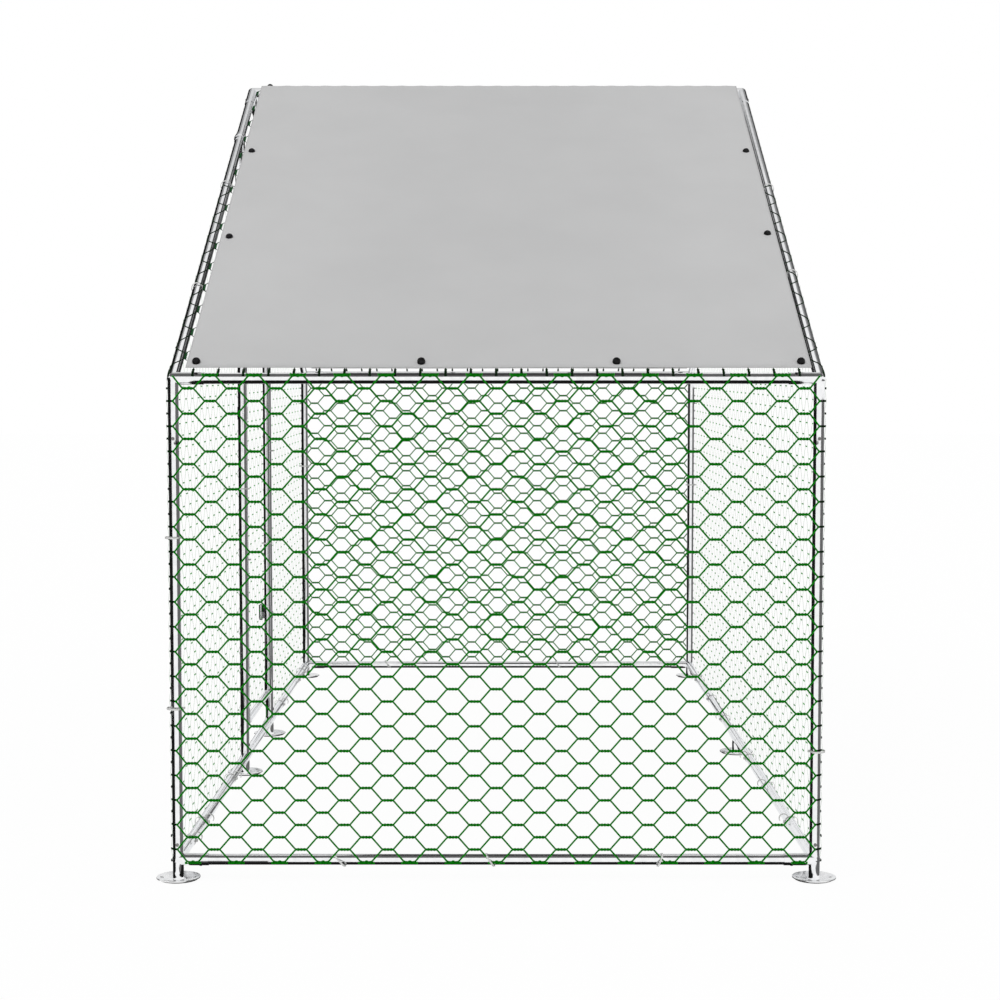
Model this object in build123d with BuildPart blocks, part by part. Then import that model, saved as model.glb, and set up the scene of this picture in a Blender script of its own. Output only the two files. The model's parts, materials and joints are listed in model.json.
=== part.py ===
"""Walk-in poultry run: a tube frame with a gable roof, hexagonal netting and a hinged door.

Millimetres. X runs across the width, Y along the length, Z up. The origin is on the ground,
under the middle of the frame. The ridge runs across the width, and the door is in the left
end wall, at -X. Netting lies on the outside of the tubes.
"""
import os
from math import atan2, ceil, cos, hypot, sin, sqrt, tan

from build123d import *

os.makedirs("parts", exist_ok=True)

# Frame, between tube centre lines
frame_width = 1460.0
frame_length = 3000.0
eave_height = 1150.0
ridge_height = 1995.0
bottom_rail_height = 48.0
door_post_spacing = 610.0
header_drop = 123.0

# Frame tube and the fit of tubes in connectors
tube_diameter = 25.0
tube_wall = 1.0
fit_clearance = 0.15
sleeve_wall = 1.35
sleeve_length = 70.0
ridge_sleeve_length = 95.0
collar_length = 44.0
collar_branch_length = 62.0
seat_wall = 3.35
leg_length = 100.0
bottom_leg_length = 20.0
spigot_length = 60.0
spigot_wall = 1.5

# Feet: dished plates with two peg holes
foot_diameter = 100.0
foot_thickness = 2.5
foot_rise = 6.0
foot_flat_margin = 5.0
peg_spacing = 76.0
peg_hole_diameter = 8.0

# Connector screws
screw_diameter = 5.0
screw_hole_diameter = 5.3
screw_head_diameter = 8.0
screw_head_height = 1.4
screw_shank = 6.0
screw_seat_gap = 0.05
post_screw_drop = 136.0
post_screw_rise = 36.0
leg_screw_inset = 30.0
sleeve_screw_inset = 17.0

# Door leaf
leaf_tube_diameter = 20.0
leaf_tube_wall = 1.0
leaf_side_gap = 13.0
leaf_head_gap = 14.0
leaf_bottom_height = 145.0
elbow_wall = 1.35
elbow_length = 40.0
elbow_seat_wall = 2.0

# Hinges, placed from the leaf's bottom and top by the meeting faces of their knuckles
lower_hinge_rise = 255.0
upper_hinge_drop = 183.5
hinge_offset = 23.0
knuckle_diameter = 12.0
knuckle_height = 22.0
knuckle_gap = 0.3
lug_thickness = 5.0
pin_diameter = 6.0
pin_fit = 0.05
pin_head_diameter = 10.0
pin_head_height = 4.0
pin_head_gap = 0.1
pin_proud = 2.0

# Slide latch
latch_height = 1045.0
latch_band_height = 36.0
latch_offset = 27.0
latch_lug_width = 7.0
latch_lug_height = 12.0
bolt_diameter = 8.0
bolt_fit = 0.08
bolt_length = 130.0
bolt_nose = 1.0
guide_diameter = 14.0
guide_length = 44.0
knob_diameter = 18.0
keeper_diameter = 17.0
keeper_length = 10.0
keeper_fit = 0.5

# Netting: the real gap, and how many gaps one piece of netting may hold here
net_gap_width = 50.0
net_gap_height = 57.0
net_twist_length = 28.0
net_gap_limit = 110
net_wire = 4.0
net_border = 4.0
net_thickness = 4.0
net_clearance = 0.3
net_wrap = 10.0
net_seam = 1.0
least_gap_share = 0.12
least_gap_edge = 1.0

# Roof cover, which lies a little to the right, and its ball ties: -1 is the left side, and 1 the right side
cover_thickness = 1.0
cover_clearance = 0.3
cover_side_inset = 22.0
cover_shift = 5.5
cover_eave_inset = 14.0
ball_diameter = 19.0
eave_ball_seat_depth = 5.5
slope_ball_seat_depth = 9.0
ridge_ball_seat_depth = 1.0
ball_seat_gap = 0.05
ball_inset = 22.0
front_ball_offsets = (-170.0, 273.0)
side_ball_steps = {-1: (676.0, 1221.0), 1: (695.0, 1221.0)}
ridge_ball_drop = 10.0

# Cable ties: -1 is the left or front side, and 1 the right or rear side
tie_width = 4.0
tie_thickness = 1.1
tie_clearance = 0.1
tie_head_length = 7.0
tie_head_height = 4.0
post_tie_heights = {
    (-1, -1): (398.0, 789.0),
    (1, -1): (299.0,),
    (-1, 1): (805.0,),
    (1, 1): (734.0,),
}
rafter_tie_steps = {-1: (443.0, 1047.0), 1: (514.0, 1027.0)}
end_rail_tie_offsets = {-1: (-358.0, -14.0, 375.0), 1: (-417.0, 230.0)}
side_rail_tie_offsets = {-1: (603.0, 1125.0, 1319.0), 1: (320.0, 711.0, 1124.0)}
door_post_tie_heights = {-1: (828.0, 1380.0), 1: (912.0, 1380.0)}
leaf_tie_heights = (620.0, 1240.0)

# Worked out from the sizes above
half_width = frame_width / 2
half_length = frame_length / 2
door_post_y = door_post_spacing / 2
tube_radius = tube_diameter / 2
tube_bore_radius = tube_radius + fit_clearance
sleeve_radius = tube_bore_radius + sleeve_wall
spigot_radius = tube_radius - tube_wall - fit_clearance
screw_hole_radius = screw_hole_diameter / 2
roof_pitch = atan2(ridge_height - eave_height, half_length)
slope_length = hypot(ridge_height - eave_height, half_length)
header_height = ridge_height - door_post_y * tan(roof_pitch) - header_drop
net_inside = sleeve_radius + net_clearance
net_outside = net_inside + net_thickness
cover_inside = net_outside + cover_clearance
cover_outside = cover_inside + cover_thickness
leaf_radius = leaf_tube_diameter / 2
leaf_bore_radius = leaf_radius + fit_clearance
elbow_radius = leaf_bore_radius + elbow_wall
stile_y = door_post_y - tube_radius - leaf_side_gap - leaf_radius
leaf_top_height = header_height - tube_radius - leaf_head_gap - leaf_radius
leaf_net_inside = elbow_radius + net_clearance
pin_radius = pin_diameter / 2

right_way = Vector(1, 0, 0)
left_way = Vector(-1, 0, 0)
rear_way = Vector(0, 1, 0)
front_way = Vector(0, -1, 0)
up_way = Vector(0, 0, 1)
down_way = Vector(0, 0, -1)

screws = []


def save(piece, name):
    """Label a finished piece and write it under its name."""
    piece.label = name
    export_step(piece, f"parts/{name}.step")


def screw_at(spot, facing, seat_radius):
    """Note a screw that enters a tube's axis at a spot, and give back where to drill."""
    facing = facing.normalized()
    screws.append((spot, facing, seat_radius))
    return spot, facing


def make_tube(start, end, radius, wall, drillings=()):
    """A round tube between two points, drilled through one wall for each screw."""
    run = end - start
    with BuildPart() as tube:
        with BuildSketch(Plane(origin=start, z_dir=run)):
            Circle(radius)
            Circle(radius - wall, mode=Mode.SUBTRACT)
        extrude(amount=run.length)
        for spot, facing in drillings:
            with BuildSketch(Plane(origin=spot, z_dir=facing)):
                Circle(screw_hole_radius)
            extrude(amount=2 * radius, mode=Mode.SUBTRACT)
    return tube.part


def make_connector(hub, sleeves, legs, drillings, inner_radius, outer_radius, wall):
    """Sleeves that take tubes, and legs whose spigots enter tubes, round one hub."""
    bore_radius = inner_radius + fit_clearance
    core_radius = spigot_radius - spigot_wall
    with BuildPart() as connector:
        with Locations(hub):
            Sphere(outer_radius)
        for way, length in sleeves:
            with BuildSketch(Plane(origin=hub, z_dir=way)):
                Circle(outer_radius)
            extrude(amount=length)
        for way, length, spigot in legs:
            with BuildSketch(Plane(origin=hub, z_dir=way)):
                Circle(inner_radius)
            extrude(amount=length)
            with BuildSketch(Plane(origin=hub, z_dir=way)):
                Circle(spigot_radius)
            extrude(amount=length + spigot)
        for way, length in sleeves:
            seat = bore_radius + wall
            with BuildSketch(Plane(origin=hub + way * seat, z_dir=way)):
                Circle(bore_radius)
            extrude(amount=length - seat, mode=Mode.SUBTRACT)
        for way, length, spigot in legs:
            floor = inner_radius + wall
            with BuildSketch(Plane(origin=hub + way * floor, z_dir=way)):
                Circle(core_radius)
            extrude(amount=length + spigot - floor, mode=Mode.SUBTRACT)
        for spot, facing in drillings:
            with BuildSketch(Plane(origin=spot, z_dir=facing)):
                Circle(screw_hole_radius)
            extrude(amount=2 * outer_radius, mode=Mode.SUBTRACT)
    return connector.part


def branch_seat(through, branch):
    """How far from the crossing a branch tube must stop to clear the tube that runs through."""
    lean = abs(through.normalized().dot(branch.normalized()))
    return tube_bore_radius * (1 + lean) / sqrt(1 - lean * lean) + seat_wall


def make_collar(hub, through, branch, drilling):
    """A collar that slides over one tube and takes the end of another, from its branch side."""
    spot, facing = drilling
    seat = branch_seat(through, branch)
    with BuildPart() as collar:
        with BuildSketch(Plane(origin=hub - through * (collar_length / 2), z_dir=through)):
            Circle(sleeve_radius)
        extrude(amount=collar_length)
        with BuildSketch(Plane(origin=hub, z_dir=branch)):
            Circle(sleeve_radius)
        extrude(amount=collar_branch_length)
        with BuildSketch(Plane(origin=hub - through * collar_length, z_dir=through)):
            Circle(tube_bore_radius)
        extrude(amount=2 * collar_length, mode=Mode.SUBTRACT)
        with BuildSketch(Plane(origin=hub + branch * seat, z_dir=branch)):
            Circle(tube_bore_radius)
        extrude(amount=collar_branch_length - seat, mode=Mode.SUBTRACT)
        with BuildSketch(Plane(origin=spot, z_dir=facing)):
            Circle(screw_hole_radius)
        extrude(amount=2 * sleeve_radius, mode=Mode.SUBTRACT)
    return collar.part


def front_or_rear(side):
    return "front" if side < 0 else "rear"


def left_or_right(side):
    return "left" if side < 0 else "right"


def slope_way(side):
    """Up the front (-1) or rear (+1) roof slope."""
    return Vector(0, -side * cos(roof_pitch), sin(roof_pitch))


def roof_normal(side):
    """Straight out of the front (-1) or rear (+1) roof slope."""
    return Vector(0, side * sin(roof_pitch), cos(roof_pitch))


def eave_point(x, side):
    return Vector(x, side * half_length, eave_height)


def roof_point(x, side, step, offset):
    """A point so far up a slope from the eave rail, and so far off the tubes' centre plane."""
    return eave_point(x, side) + slope_way(side) * step + roof_normal(side) * offset


def rafter_height(y):
    """Height of the rafters' centre lines over a place along the length."""
    return ridge_height - abs(y) * tan(roof_pitch)


# Posts at the corners, with their eave connectors, bottom legs and rafters
hub_seat = tube_bore_radius + seat_wall
sleeve_screw = sleeve_length - sleeve_screw_inset
leg_top = bottom_rail_height + bottom_leg_length
ground_leg_length = bottom_rail_height - foot_thickness
eave_sleeve_drillings = {}
bottom_sleeve_drillings = {}
ridge_sleeve_drillings = {}
foot_places = []

for x_side in (-1, 1):
    for y_side in (-1, 1):
        name = f"{front_or_rear(y_side)}_{left_or_right(x_side)}"
        inward_x = right_way * -x_side
        inward_y = rear_way * -y_side
        outward_y = rear_way * y_side
        outward_x = right_way * x_side
        eave_hub = eave_point(x_side * half_width, y_side)
        bottom_hub = Vector(x_side * half_width, y_side * half_length, bottom_rail_height)
        slope = slope_way(y_side)
        ridge_hub = Vector(x_side * half_width, 0, ridge_height)

        upper_screw = screw_at(eave_hub + down_way * post_screw_drop, outward_y, tube_radius)
        lower_screw = screw_at(bottom_hub + up_way * post_screw_rise, outward_y, tube_radius)
        post = make_tube(
            Vector(eave_hub.X, eave_hub.Y, leg_top),
            eave_hub + down_way * leg_length,
            tube_radius,
            tube_wall,
            [upper_screw, lower_screw],
        )
        save(post, f"{name}_post")

        rail_screw = screw_at(
            eave_hub + inward_x * sleeve_screw, outward_y + up_way, sleeve_radius
        )
        eave_sleeve_drillings[x_side, y_side] = rail_screw
        low_rafter_screw = screw_at(
            eave_hub + slope * (leg_length + leg_screw_inset),
            outward_x + roof_normal(y_side),
            tube_radius,
        )
        eave_corner = make_connector(
            eave_hub,
            [(inward_x, sleeve_length)],
            [(down_way, leg_length, spigot_length), (slope, leg_length, spigot_length)],
            [upper_screw, rail_screw, low_rafter_screw],
            tube_radius,
            sleeve_radius,
            seat_wall,
        )
        save(eave_corner, f"{name}_eave_corner")

        high_rafter_screw = screw_at(
            ridge_hub - slope * (ridge_sleeve_length - sleeve_screw_inset),
            outward_x + roof_normal(y_side),
            sleeve_radius,
        )
        ridge_sleeve_drillings[x_side, y_side] = high_rafter_screw
        rafter = make_tube(
            eave_hub + slope * leg_length,
            ridge_hub - slope * hub_seat,
            tube_radius,
            tube_wall,
            [low_rafter_screw, high_rafter_screw],
        )
        save(rafter, f"{name}_rafter")

        end_rail_screw = screw_at(
            bottom_hub + inward_x * sleeve_screw, outward_y + down_way, sleeve_radius
        )
        side_rail_screw = screw_at(
            bottom_hub + inward_y * sleeve_screw, outward_x + down_way, sleeve_radius
        )
        bottom_sleeve_drillings[x_side, y_side] = (end_rail_screw, side_rail_screw)
        corner_leg = make_connector(
            bottom_hub,
            [(inward_x, sleeve_length), (inward_y, sleeve_length)],
            [(up_way, bottom_leg_length, spigot_length), (down_way, ground_leg_length, 0)],
            [lower_screw, end_rail_screw, side_rail_screw],
            tube_radius,
            sleeve_radius,
            seat_wall,
        )
        save(corner_leg, f"{name}_leg")
        foot_places.append((bottom_hub.X, bottom_hub.Y))

# Eave rails, and bottom rails at the front and rear
for y_side in (-1, 1):
    name = front_or_rear(y_side)
    reach = right_way * (half_width - hub_seat)
    eave_centre = eave_point(0, y_side)
    eave_rail = make_tube(
        eave_centre - reach,
        eave_centre + reach,
        tube_radius,
        tube_wall,
        [eave_sleeve_drillings[x_side, y_side] for x_side in (-1, 1)],
    )
    save(eave_rail, f"{name}_eave_rail")

    bottom_centre = Vector(0, y_side * half_length, bottom_rail_height)
    bottom_rail = make_tube(
        bottom_centre - reach,
        bottom_centre + reach,
        tube_radius,
        tube_wall,
        [bottom_sleeve_drillings[x_side, y_side][0] for x_side in (-1, 1)],
    )
    save(bottom_rail, f"{name}_bottom_rail")

# Ridge tube and the connectors at its ends
ridge_connectors = []
ridge_screws = []
for x_side in (-1, 1):
    ridge_hub = Vector(x_side * half_width, 0, ridge_height)
    inward_x = right_way * -x_side
    ridge_screw = screw_at(ridge_hub + inward_x * sleeve_screw, down_way, sleeve_radius)
    ridge_screws.append(ridge_screw)
    connector = make_connector(
        ridge_hub,
        [
            (inward_x, sleeve_length),
            (slope_way(-1) * -1, ridge_sleeve_length),
            (slope_way(1) * -1, ridge_sleeve_length),
        ],
        [],
        [ridge_screw] + [ridge_sleeve_drillings[x_side, y_side] for y_side in (-1, 1)],
        tube_radius,
        sleeve_radius,
        seat_wall,
    )
    ridge_connectors.append(connector)
save(Compound(children=ridge_connectors), "ridge_connectors")

ridge_reach = right_way * (half_width - hub_seat)
ridge_centre = Vector(0, 0, ridge_height)
ridge_tube = make_tube(
    ridge_centre - ridge_reach, ridge_centre + ridge_reach, tube_radius, tube_wall, ridge_screws
)
save(ridge_tube, "ridge_tube")

# Doorway legs, the middle leg on the right side, and the side rails between legs
doorway_legs = []
sill_screws = []
left_rail_screws = {}
door_post_drillings = {}
for y_side in (-1, 1):
    hub = Vector(-half_width, y_side * door_post_y, bottom_rail_height)
    outward_y = rear_way * y_side
    sill_screw = screw_at(hub - outward_y * sleeve_screw, left_way + down_way, sleeve_radius)
    rail_screw = screw_at(hub + outward_y * sleeve_screw, left_way + down_way, sleeve_radius)
    post_screw = screw_at(hub + up_way * post_screw_rise, right_way, tube_radius)
    sill_screws.append(sill_screw)
    left_rail_screws[y_side] = rail_screw
    door_post_drillings[y_side] = [post_screw]
    leg = make_connector(
        hub,
        [(outward_y, sleeve_length), (outward_y * -1, sleeve_length)],
        [(up_way, bottom_leg_length, spigot_length), (down_way, ground_leg_length, 0)],
        [sill_screw, rail_screw, post_screw],
        tube_radius,
        sleeve_radius,
        seat_wall,
    )
    doorway_legs.append(leg)
    foot_places.append((hub.X, hub.Y))
save(Compound(children=doorway_legs), "doorway_legs")

middle_hub = Vector(half_width, 0, bottom_rail_height)
middle_screws = {
    y_side: screw_at(
        middle_hub + rear_way * (y_side * sleeve_screw), right_way + down_way, sleeve_radius
    )
    for y_side in (-1, 1)
}
middle_leg = make_connector(
    middle_hub,
    [(front_way, sleeve_length), (rear_way, sleeve_length)],
    [(down_way, ground_leg_length, 0)],
    list(middle_screws.values()),
    tube_radius,
    sleeve_radius,
    seat_wall,
)
save(middle_leg, "right_middle_leg")
foot_places.append((middle_hub.X, middle_hub.Y))

for y_side in (-1, 1):
    name = front_or_rear(y_side)
    outward_y = rear_way * y_side
    corner = y_side * (half_length - hub_seat)
    left_rail = make_tube(
        Vector(-half_width, y_side * (door_post_y + hub_seat), bottom_rail_height),
        Vector(-half_width, corner, bottom_rail_height),
        tube_radius,
        tube_wall,
        [left_rail_screws[y_side], bottom_sleeve_drillings[-1, y_side][1]],
    )
    save(left_rail, f"left_{name}_bottom_rail")
    right_rail = make_tube(
        middle_hub + outward_y * hub_seat,
        Vector(half_width, corner, bottom_rail_height),
        tube_radius,
        tube_wall,
        [middle_screws[y_side], bottom_sleeve_drillings[1, y_side][1]],
    )
    save(right_rail, f"right_{name}_bottom_rail")

sill_reach = door_post_y - hub_seat
door_sill_rail = make_tube(
    Vector(-half_width, -sill_reach, bottom_rail_height),
    Vector(-half_width, sill_reach, bottom_rail_height),
    tube_radius,
    tube_wall,
    sill_screws,
)
save(door_sill_rail, "door_sill_rail")

# Door posts, the collars that hold them to the rafters, and the header rail over the door
collars = []
header_screws = []
branch_screw = collar_branch_length - sleeve_screw_inset
for y_side in (-1, 1):
    y = y_side * door_post_y
    rafter_hub = Vector(-half_width, y, rafter_height(y))
    along_rafter = slope_way(y_side)
    top_screw = screw_at(
        rafter_hub + down_way * branch_screw, right_way, sleeve_radius
    )
    collars.append(make_collar(rafter_hub, along_rafter, down_way, top_screw))
    header_hub = Vector(-half_width, y, header_height)
    to_middle = rear_way * -y_side
    header_screw = screw_at(header_hub + to_middle * branch_screw, right_way, sleeve_radius)
    header_screws.append(header_screw)
    collars.append(make_collar(header_hub, up_way, to_middle, header_screw))
    door_post = make_tube(
        Vector(-half_width, y, leg_top),
        rafter_hub + down_way * branch_seat(along_rafter, down_way),
        tube_radius,
        tube_wall,
        door_post_drillings[y_side] + [top_screw],
    )
    save(door_post, f"{front_or_rear(y_side)}_door_post")
save(Compound(children=collars), "door_post_collars")

header_reach = door_post_y - branch_seat(up_way, rear_way)
door_header_rail = make_tube(
    Vector(-half_width, -header_reach, header_height),
    Vector(-half_width, header_reach, header_height),
    tube_radius,
    tube_wall,
    header_screws,
)
save(door_header_rail, "door_header_rail")

# Round foot plates: the legs stand on their flat middles, and their rims rise off the ground
foot_radius = foot_diameter / 2
foot_flat_radius = tube_radius + foot_flat_margin
with BuildPart() as foot_plate:
    with BuildSketch(Plane.XZ):
        Polygon(
            (0, 0),
            (foot_flat_radius, 0),
            (foot_radius, foot_rise),
            (foot_radius, foot_rise + foot_thickness),
            (foot_flat_radius, foot_thickness),
            (0, foot_thickness),
            align=None,
        )
    revolve(axis=Axis.Z)
    with BuildSketch(Plane.XY):
        with Locations((-peg_spacing / 2, 0), (peg_spacing / 2, 0)):
            Circle(peg_hole_diameter / 2)
    extrude(amount=foot_rise + foot_thickness, mode=Mode.SUBTRACT)
foot_plates = [foot_plate.part.moved(Location((x, y, 0))) for x, y in foot_places]
save(Compound(children=foot_plates), "foot_plates")

# Connector screws: a low head on the sleeve or tube, and a shank through both walls
with BuildPart() as connector_screws:
    for spot, facing, seat_radius in screws:
        head_seat = seat_radius + screw_seat_gap
        with BuildSketch(Plane(origin=spot + facing * head_seat, z_dir=facing)):
            Circle(screw_head_diameter / 2)
        extrude(amount=screw_head_height)
        with BuildSketch(Plane(origin=spot + facing * head_seat, z_dir=facing)):
            Circle(screw_diameter / 2)
        extrude(amount=-screw_shank)
save(connector_screws.part, "connector_screws")

# Door leaf: two stiles and two rails, with elbows at the corners
leaf_seat = leaf_bore_radius + elbow_seat_wall
for name, y in (("latch", -stile_y), ("hinge", stile_y)):
    stile = make_tube(
        Vector(-half_width, y, leaf_bottom_height + leaf_seat),
        Vector(-half_width, y, leaf_top_height - leaf_seat),
        leaf_radius,
        leaf_tube_wall,
    )
    save(stile, f"door_{name}_stile")

for name, z in (("bottom", leaf_bottom_height), ("top", leaf_top_height)):
    rail = make_tube(
        Vector(-half_width, -stile_y + leaf_seat, z),
        Vector(-half_width, stile_y - leaf_seat, z),
        leaf_radius,
        leaf_tube_wall,
    )
    save(rail, f"door_{name}_rail")

elbows = []
for y_side in (-1, 1):
    for z, upright in ((leaf_bottom_height, up_way), (leaf_top_height, down_way)):
        elbow = make_connector(
            Vector(-half_width, y_side * stile_y, z),
            [(upright, elbow_length), (rear_way * -y_side, elbow_length)],
            [],
            [],
            leaf_radius,
            elbow_radius,
            elbow_seat_wall,
        )
        elbows.append(elbow)
save(Compound(children=elbows), "door_elbows")

# Hinges: a strap round the rear door post, a strap round the hinge stile, and a headed pin
hinge_y = (door_post_y - tube_radius + stile_y + leaf_radius) / 2
hinge_x = -half_width - hinge_offset
hinge_heights = (leaf_bottom_height + lower_hinge_rise, leaf_top_height - upper_hinge_drop)


def make_hinge_straps(carrier_y, bore_radius, band_radius, base, pin_hole_radius):
    """Straps that wrap a tube and reach out to a knuckle, with their lower faces at a base."""
    reach = hypot(hinge_offset, hinge_y - carrier_y)
    lug_way = Vector(-hinge_offset, hinge_y - carrier_y, 0)
    with BuildPart() as straps:
        for height in hinge_heights:
            carrier = Vector(-half_width, carrier_y, height + base)
            with BuildSketch(Plane(origin=carrier, x_dir=lug_way, z_dir=up_way)):
                Circle(band_radius)
                with Locations((reach / 2, 0)):
                    Rectangle(reach, lug_thickness)
                with Locations((reach, 0)):
                    Circle(knuckle_diameter / 2)
                Circle(bore_radius, mode=Mode.SUBTRACT)
                with Locations((reach, 0)):
                    Circle(pin_hole_radius, mode=Mode.SUBTRACT)
            extrude(amount=knuckle_height)
    return straps.part


hinge_post_straps = make_hinge_straps(
    door_post_y, tube_bore_radius, sleeve_radius, -knuckle_height - knuckle_gap / 2, pin_radius + pin_fit
)
save(hinge_post_straps, "hinge_post_straps")
hinge_door_straps = make_hinge_straps(
    stile_y, leaf_bore_radius, elbow_radius, knuckle_gap / 2, pin_radius + pin_fit
)
save(hinge_door_straps, "hinge_door_straps")

with BuildPart() as hinge_pins:
    for height in hinge_heights:
        head_top = height - knuckle_gap / 2 - knuckle_height - pin_head_gap
        pin_top = height + knuckle_gap / 2 + knuckle_height + pin_proud
        with BuildSketch(Plane(origin=(hinge_x, hinge_y, head_top), z_dir=up_way)):
            Circle(pin_radius)
        extrude(amount=pin_top - head_top)
        with BuildSketch(Plane(origin=(hinge_x, hinge_y, head_top), z_dir=up_way)):
            Circle(pin_head_diameter / 2)
        extrude(amount=-pin_head_height)
save(hinge_pins.part, "hinge_pins")

# Slide latch: a guide on the latch stile, a bolt with a knob, and a keeper on the front door post
bolt_x = -half_width - latch_offset
guide_front = -stile_y - leaf_radius
keeper_front = -door_post_y + net_seam
latch_base = latch_height - latch_band_height / 2


def make_latch_bracket(carrier_y, bore_radius, band_radius, front, ring_length, ring_diameter,
                       ring_bore_radius):
    """A band round a tube, with a lug that carries a ring along the length."""
    lug_end = front + latch_lug_width
    with BuildPart() as bracket:
        with BuildSketch(Plane(origin=(-half_width, carrier_y, latch_base), z_dir=up_way)):
            Circle(band_radius)
        extrude(amount=latch_band_height)
        with BuildSketch(Plane(origin=(0, 0, latch_height - latch_lug_height / 2), z_dir=up_way)):
            with BuildLine():
                Polyline(
                    (-half_width, front),
                    (bolt_x, front),
                    (bolt_x, lug_end),
                    (-half_width, lug_end),
                    close=True,
                )
            make_face()
        extrude(amount=latch_lug_height)
        with BuildSketch(Plane(origin=(bolt_x, front, latch_height), z_dir=rear_way)):
            Circle(ring_diameter / 2)
        extrude(amount=ring_length)
        with BuildSketch(Plane(origin=(bolt_x, front, latch_height), z_dir=rear_way)):
            Circle(ring_bore_radius)
        extrude(amount=ring_length, mode=Mode.SUBTRACT)
        with BuildSketch(Plane(origin=(-half_width, carrier_y, latch_base), z_dir=up_way)):
            Circle(bore_radius)
        extrude(amount=latch_band_height, mode=Mode.SUBTRACT)
    return bracket.part


latch_guide = make_latch_bracket(
    -stile_y,
    leaf_bore_radius,
    elbow_radius,
    guide_front,
    guide_length,
    guide_diameter,
    bolt_diameter / 2 + bolt_fit,
)
save(latch_guide, "latch_guide")

latch_keeper = make_latch_bracket(
    -door_post_y,
    tube_bore_radius,
    sleeve_radius,
    keeper_front,
    keeper_length,
    keeper_diameter,
    bolt_diameter / 2 + keeper_fit,
)
save(latch_keeper, "latch_keeper")

with BuildPart() as latch_bolt:
    with BuildSketch(Plane(origin=(bolt_x, guide_front, latch_height), z_dir=rear_way)):
        Circle(bolt_diameter / 2)
    extrude(amount=bolt_length)
    chamfer(latch_bolt.faces().sort_by(Axis.Y)[0].edges(), bolt_nose)
    with Locations((bolt_x, guide_front + bolt_length, latch_height)):
        Sphere(knob_diameter / 2)
save(latch_bolt.part, "latch_bolt")


# Netting
def area_of(outline):
    """Area of a polygon whose corners run anticlockwise."""
    corners = zip(outline, outline[1:] + outline[:1])
    return sum(here[0] * there[1] - there[0] * here[1] for here, there in corners) / 2


def clip(shape, start, end, margin):
    """The part of a polygon that lies further than a margin to the left of a line."""
    run_x = end[0] - start[0]
    run_y = end[1] - start[1]

    def depth(point):
        side = run_x * (point[1] - start[1]) - run_y * (point[0] - start[0])
        return side / hypot(run_x, run_y) - margin

    kept = []
    for here, there in zip(shape, shape[1:] + shape[:1]):
        near = depth(here)
        far = depth(there)
        if near >= 0:
            kept.append(here)
        if near * far < 0:
            share = near / (near - far)
            kept.append(tuple(a + share * (b - a) for a, b in zip(here, there)))
    return kept


def hexagon(centre_u, centre_v, scale, upright):
    """One gap, with its twisted edges along u, or along v where the net runs upright."""
    shrink = scale - net_wire / net_gap_height
    half_twist = net_twist_length / 2 * shrink
    half_reach = (net_gap_width - net_twist_length / 2) * shrink
    half_height = net_gap_height / 2 * shrink
    corners = [
        (half_twist, half_height),
        (-half_twist, half_height),
        (-half_reach, 0),
        (-half_twist, -half_height),
        (half_twist, -half_height),
        (half_reach, 0),
    ]
    if upright:
        corners = [(v, u) for u, v in reversed(corners)]
    return [(centre_u + u, centre_v + v) for u, v in corners]


def net_gaps(outline, upright):
    """Hexagonal gaps that fill an outline in staggered columns, cut off along its border."""
    room = area_of(outline)
    scale = max(1.0, sqrt(room / (net_gap_limit * net_gap_width * net_gap_height)))
    least_area = least_gap_share * net_gap_width * net_gap_height * scale * scale
    low = [min(corner[axis] for corner in outline) for axis in (0, 1)]
    high = [max(corner[axis] for corner in outline) for axis in (0, 1)]
    across, along = (1, 0) if upright else (0, 1)
    column_pitch = net_gap_width * scale
    row_pitch = net_gap_height * scale
    columns = ceil((high[across] - low[across]) / column_pitch) + 1
    rows = ceil((high[along] - low[along]) / row_pitch) + 1
    gaps = []
    for column in range(columns):
        stagger = row_pitch / 2 if column % 2 else 0
        for row in range(rows + 1):
            place = [0, 0]
            place[across] = low[across] + column * column_pitch
            place[along] = low[along] + row * row_pitch - stagger
            gap = hexagon(place[0], place[1], scale, upright)
            for start, end in zip(outline, outline[1:] + outline[:1]):
                if len(gap) > 2:
                    gap = clip(gap, start, end, net_border)
            corners = [
                corner
                for corner, before in zip(gap, gap[-1:] + gap[:-1])
                if hypot(corner[0] - before[0], corner[1] - before[1]) > least_gap_edge
            ]
            if len(corners) > 2 and area_of(corners) > least_area:
                gaps.append(corners)
    return gaps


def make_net(outline, plane, upright=False):
    """Flat netting on the outer side of a plane, as one holed face with a thickness."""

    def ring(corners):
        return Wire.make_polygon([plane.from_local_coords((u, v, 0)) for u, v in corners])

    holed = Face(ring(outline), [ring(gap) for gap in net_gaps(outline, upright)])
    with BuildPart() as net:
        extrude(holed, amount=net_thickness, dir=plane.z_dir)
    return net.part


net_bottom = bottom_rail_height - net_wrap
net_side = half_length + net_wrap
wrap_rise = net_wrap / cos(roof_pitch)


def gable_top(y):
    """Top edge of the end netting over a place along the length."""
    return rafter_height(y) + wrap_rise


# End walls under the eaves
for y_side in (-1, 1):
    reach = half_width + net_wrap
    wall_outline = [
        (-reach, net_bottom),
        (reach, net_bottom),
        (reach, eave_height + net_seam),
        (-reach, eave_height + net_seam),
    ]
    wall_plane = Plane(
        origin=(0, y_side * (half_length + net_inside), 0),
        x_dir=(-y_side, 0, 0),
        z_dir=(0, y_side, 0),
    )
    save(make_net(wall_outline, wall_plane), f"{front_or_rear(y_side)}_net")

# Right gable wall, in one piece
right_plane = Plane(origin=(half_width + net_inside, 0, 0), x_dir=(0, 1, 0), z_dir=(1, 0, 0))
right_outline = [
    (-net_side, net_bottom),
    (net_side, net_bottom),
    (net_side, gable_top(net_side)),
    (0, gable_top(0)),
    (-net_side, gable_top(net_side)),
]
save(make_net(right_outline, right_plane), "right_net")

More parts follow.
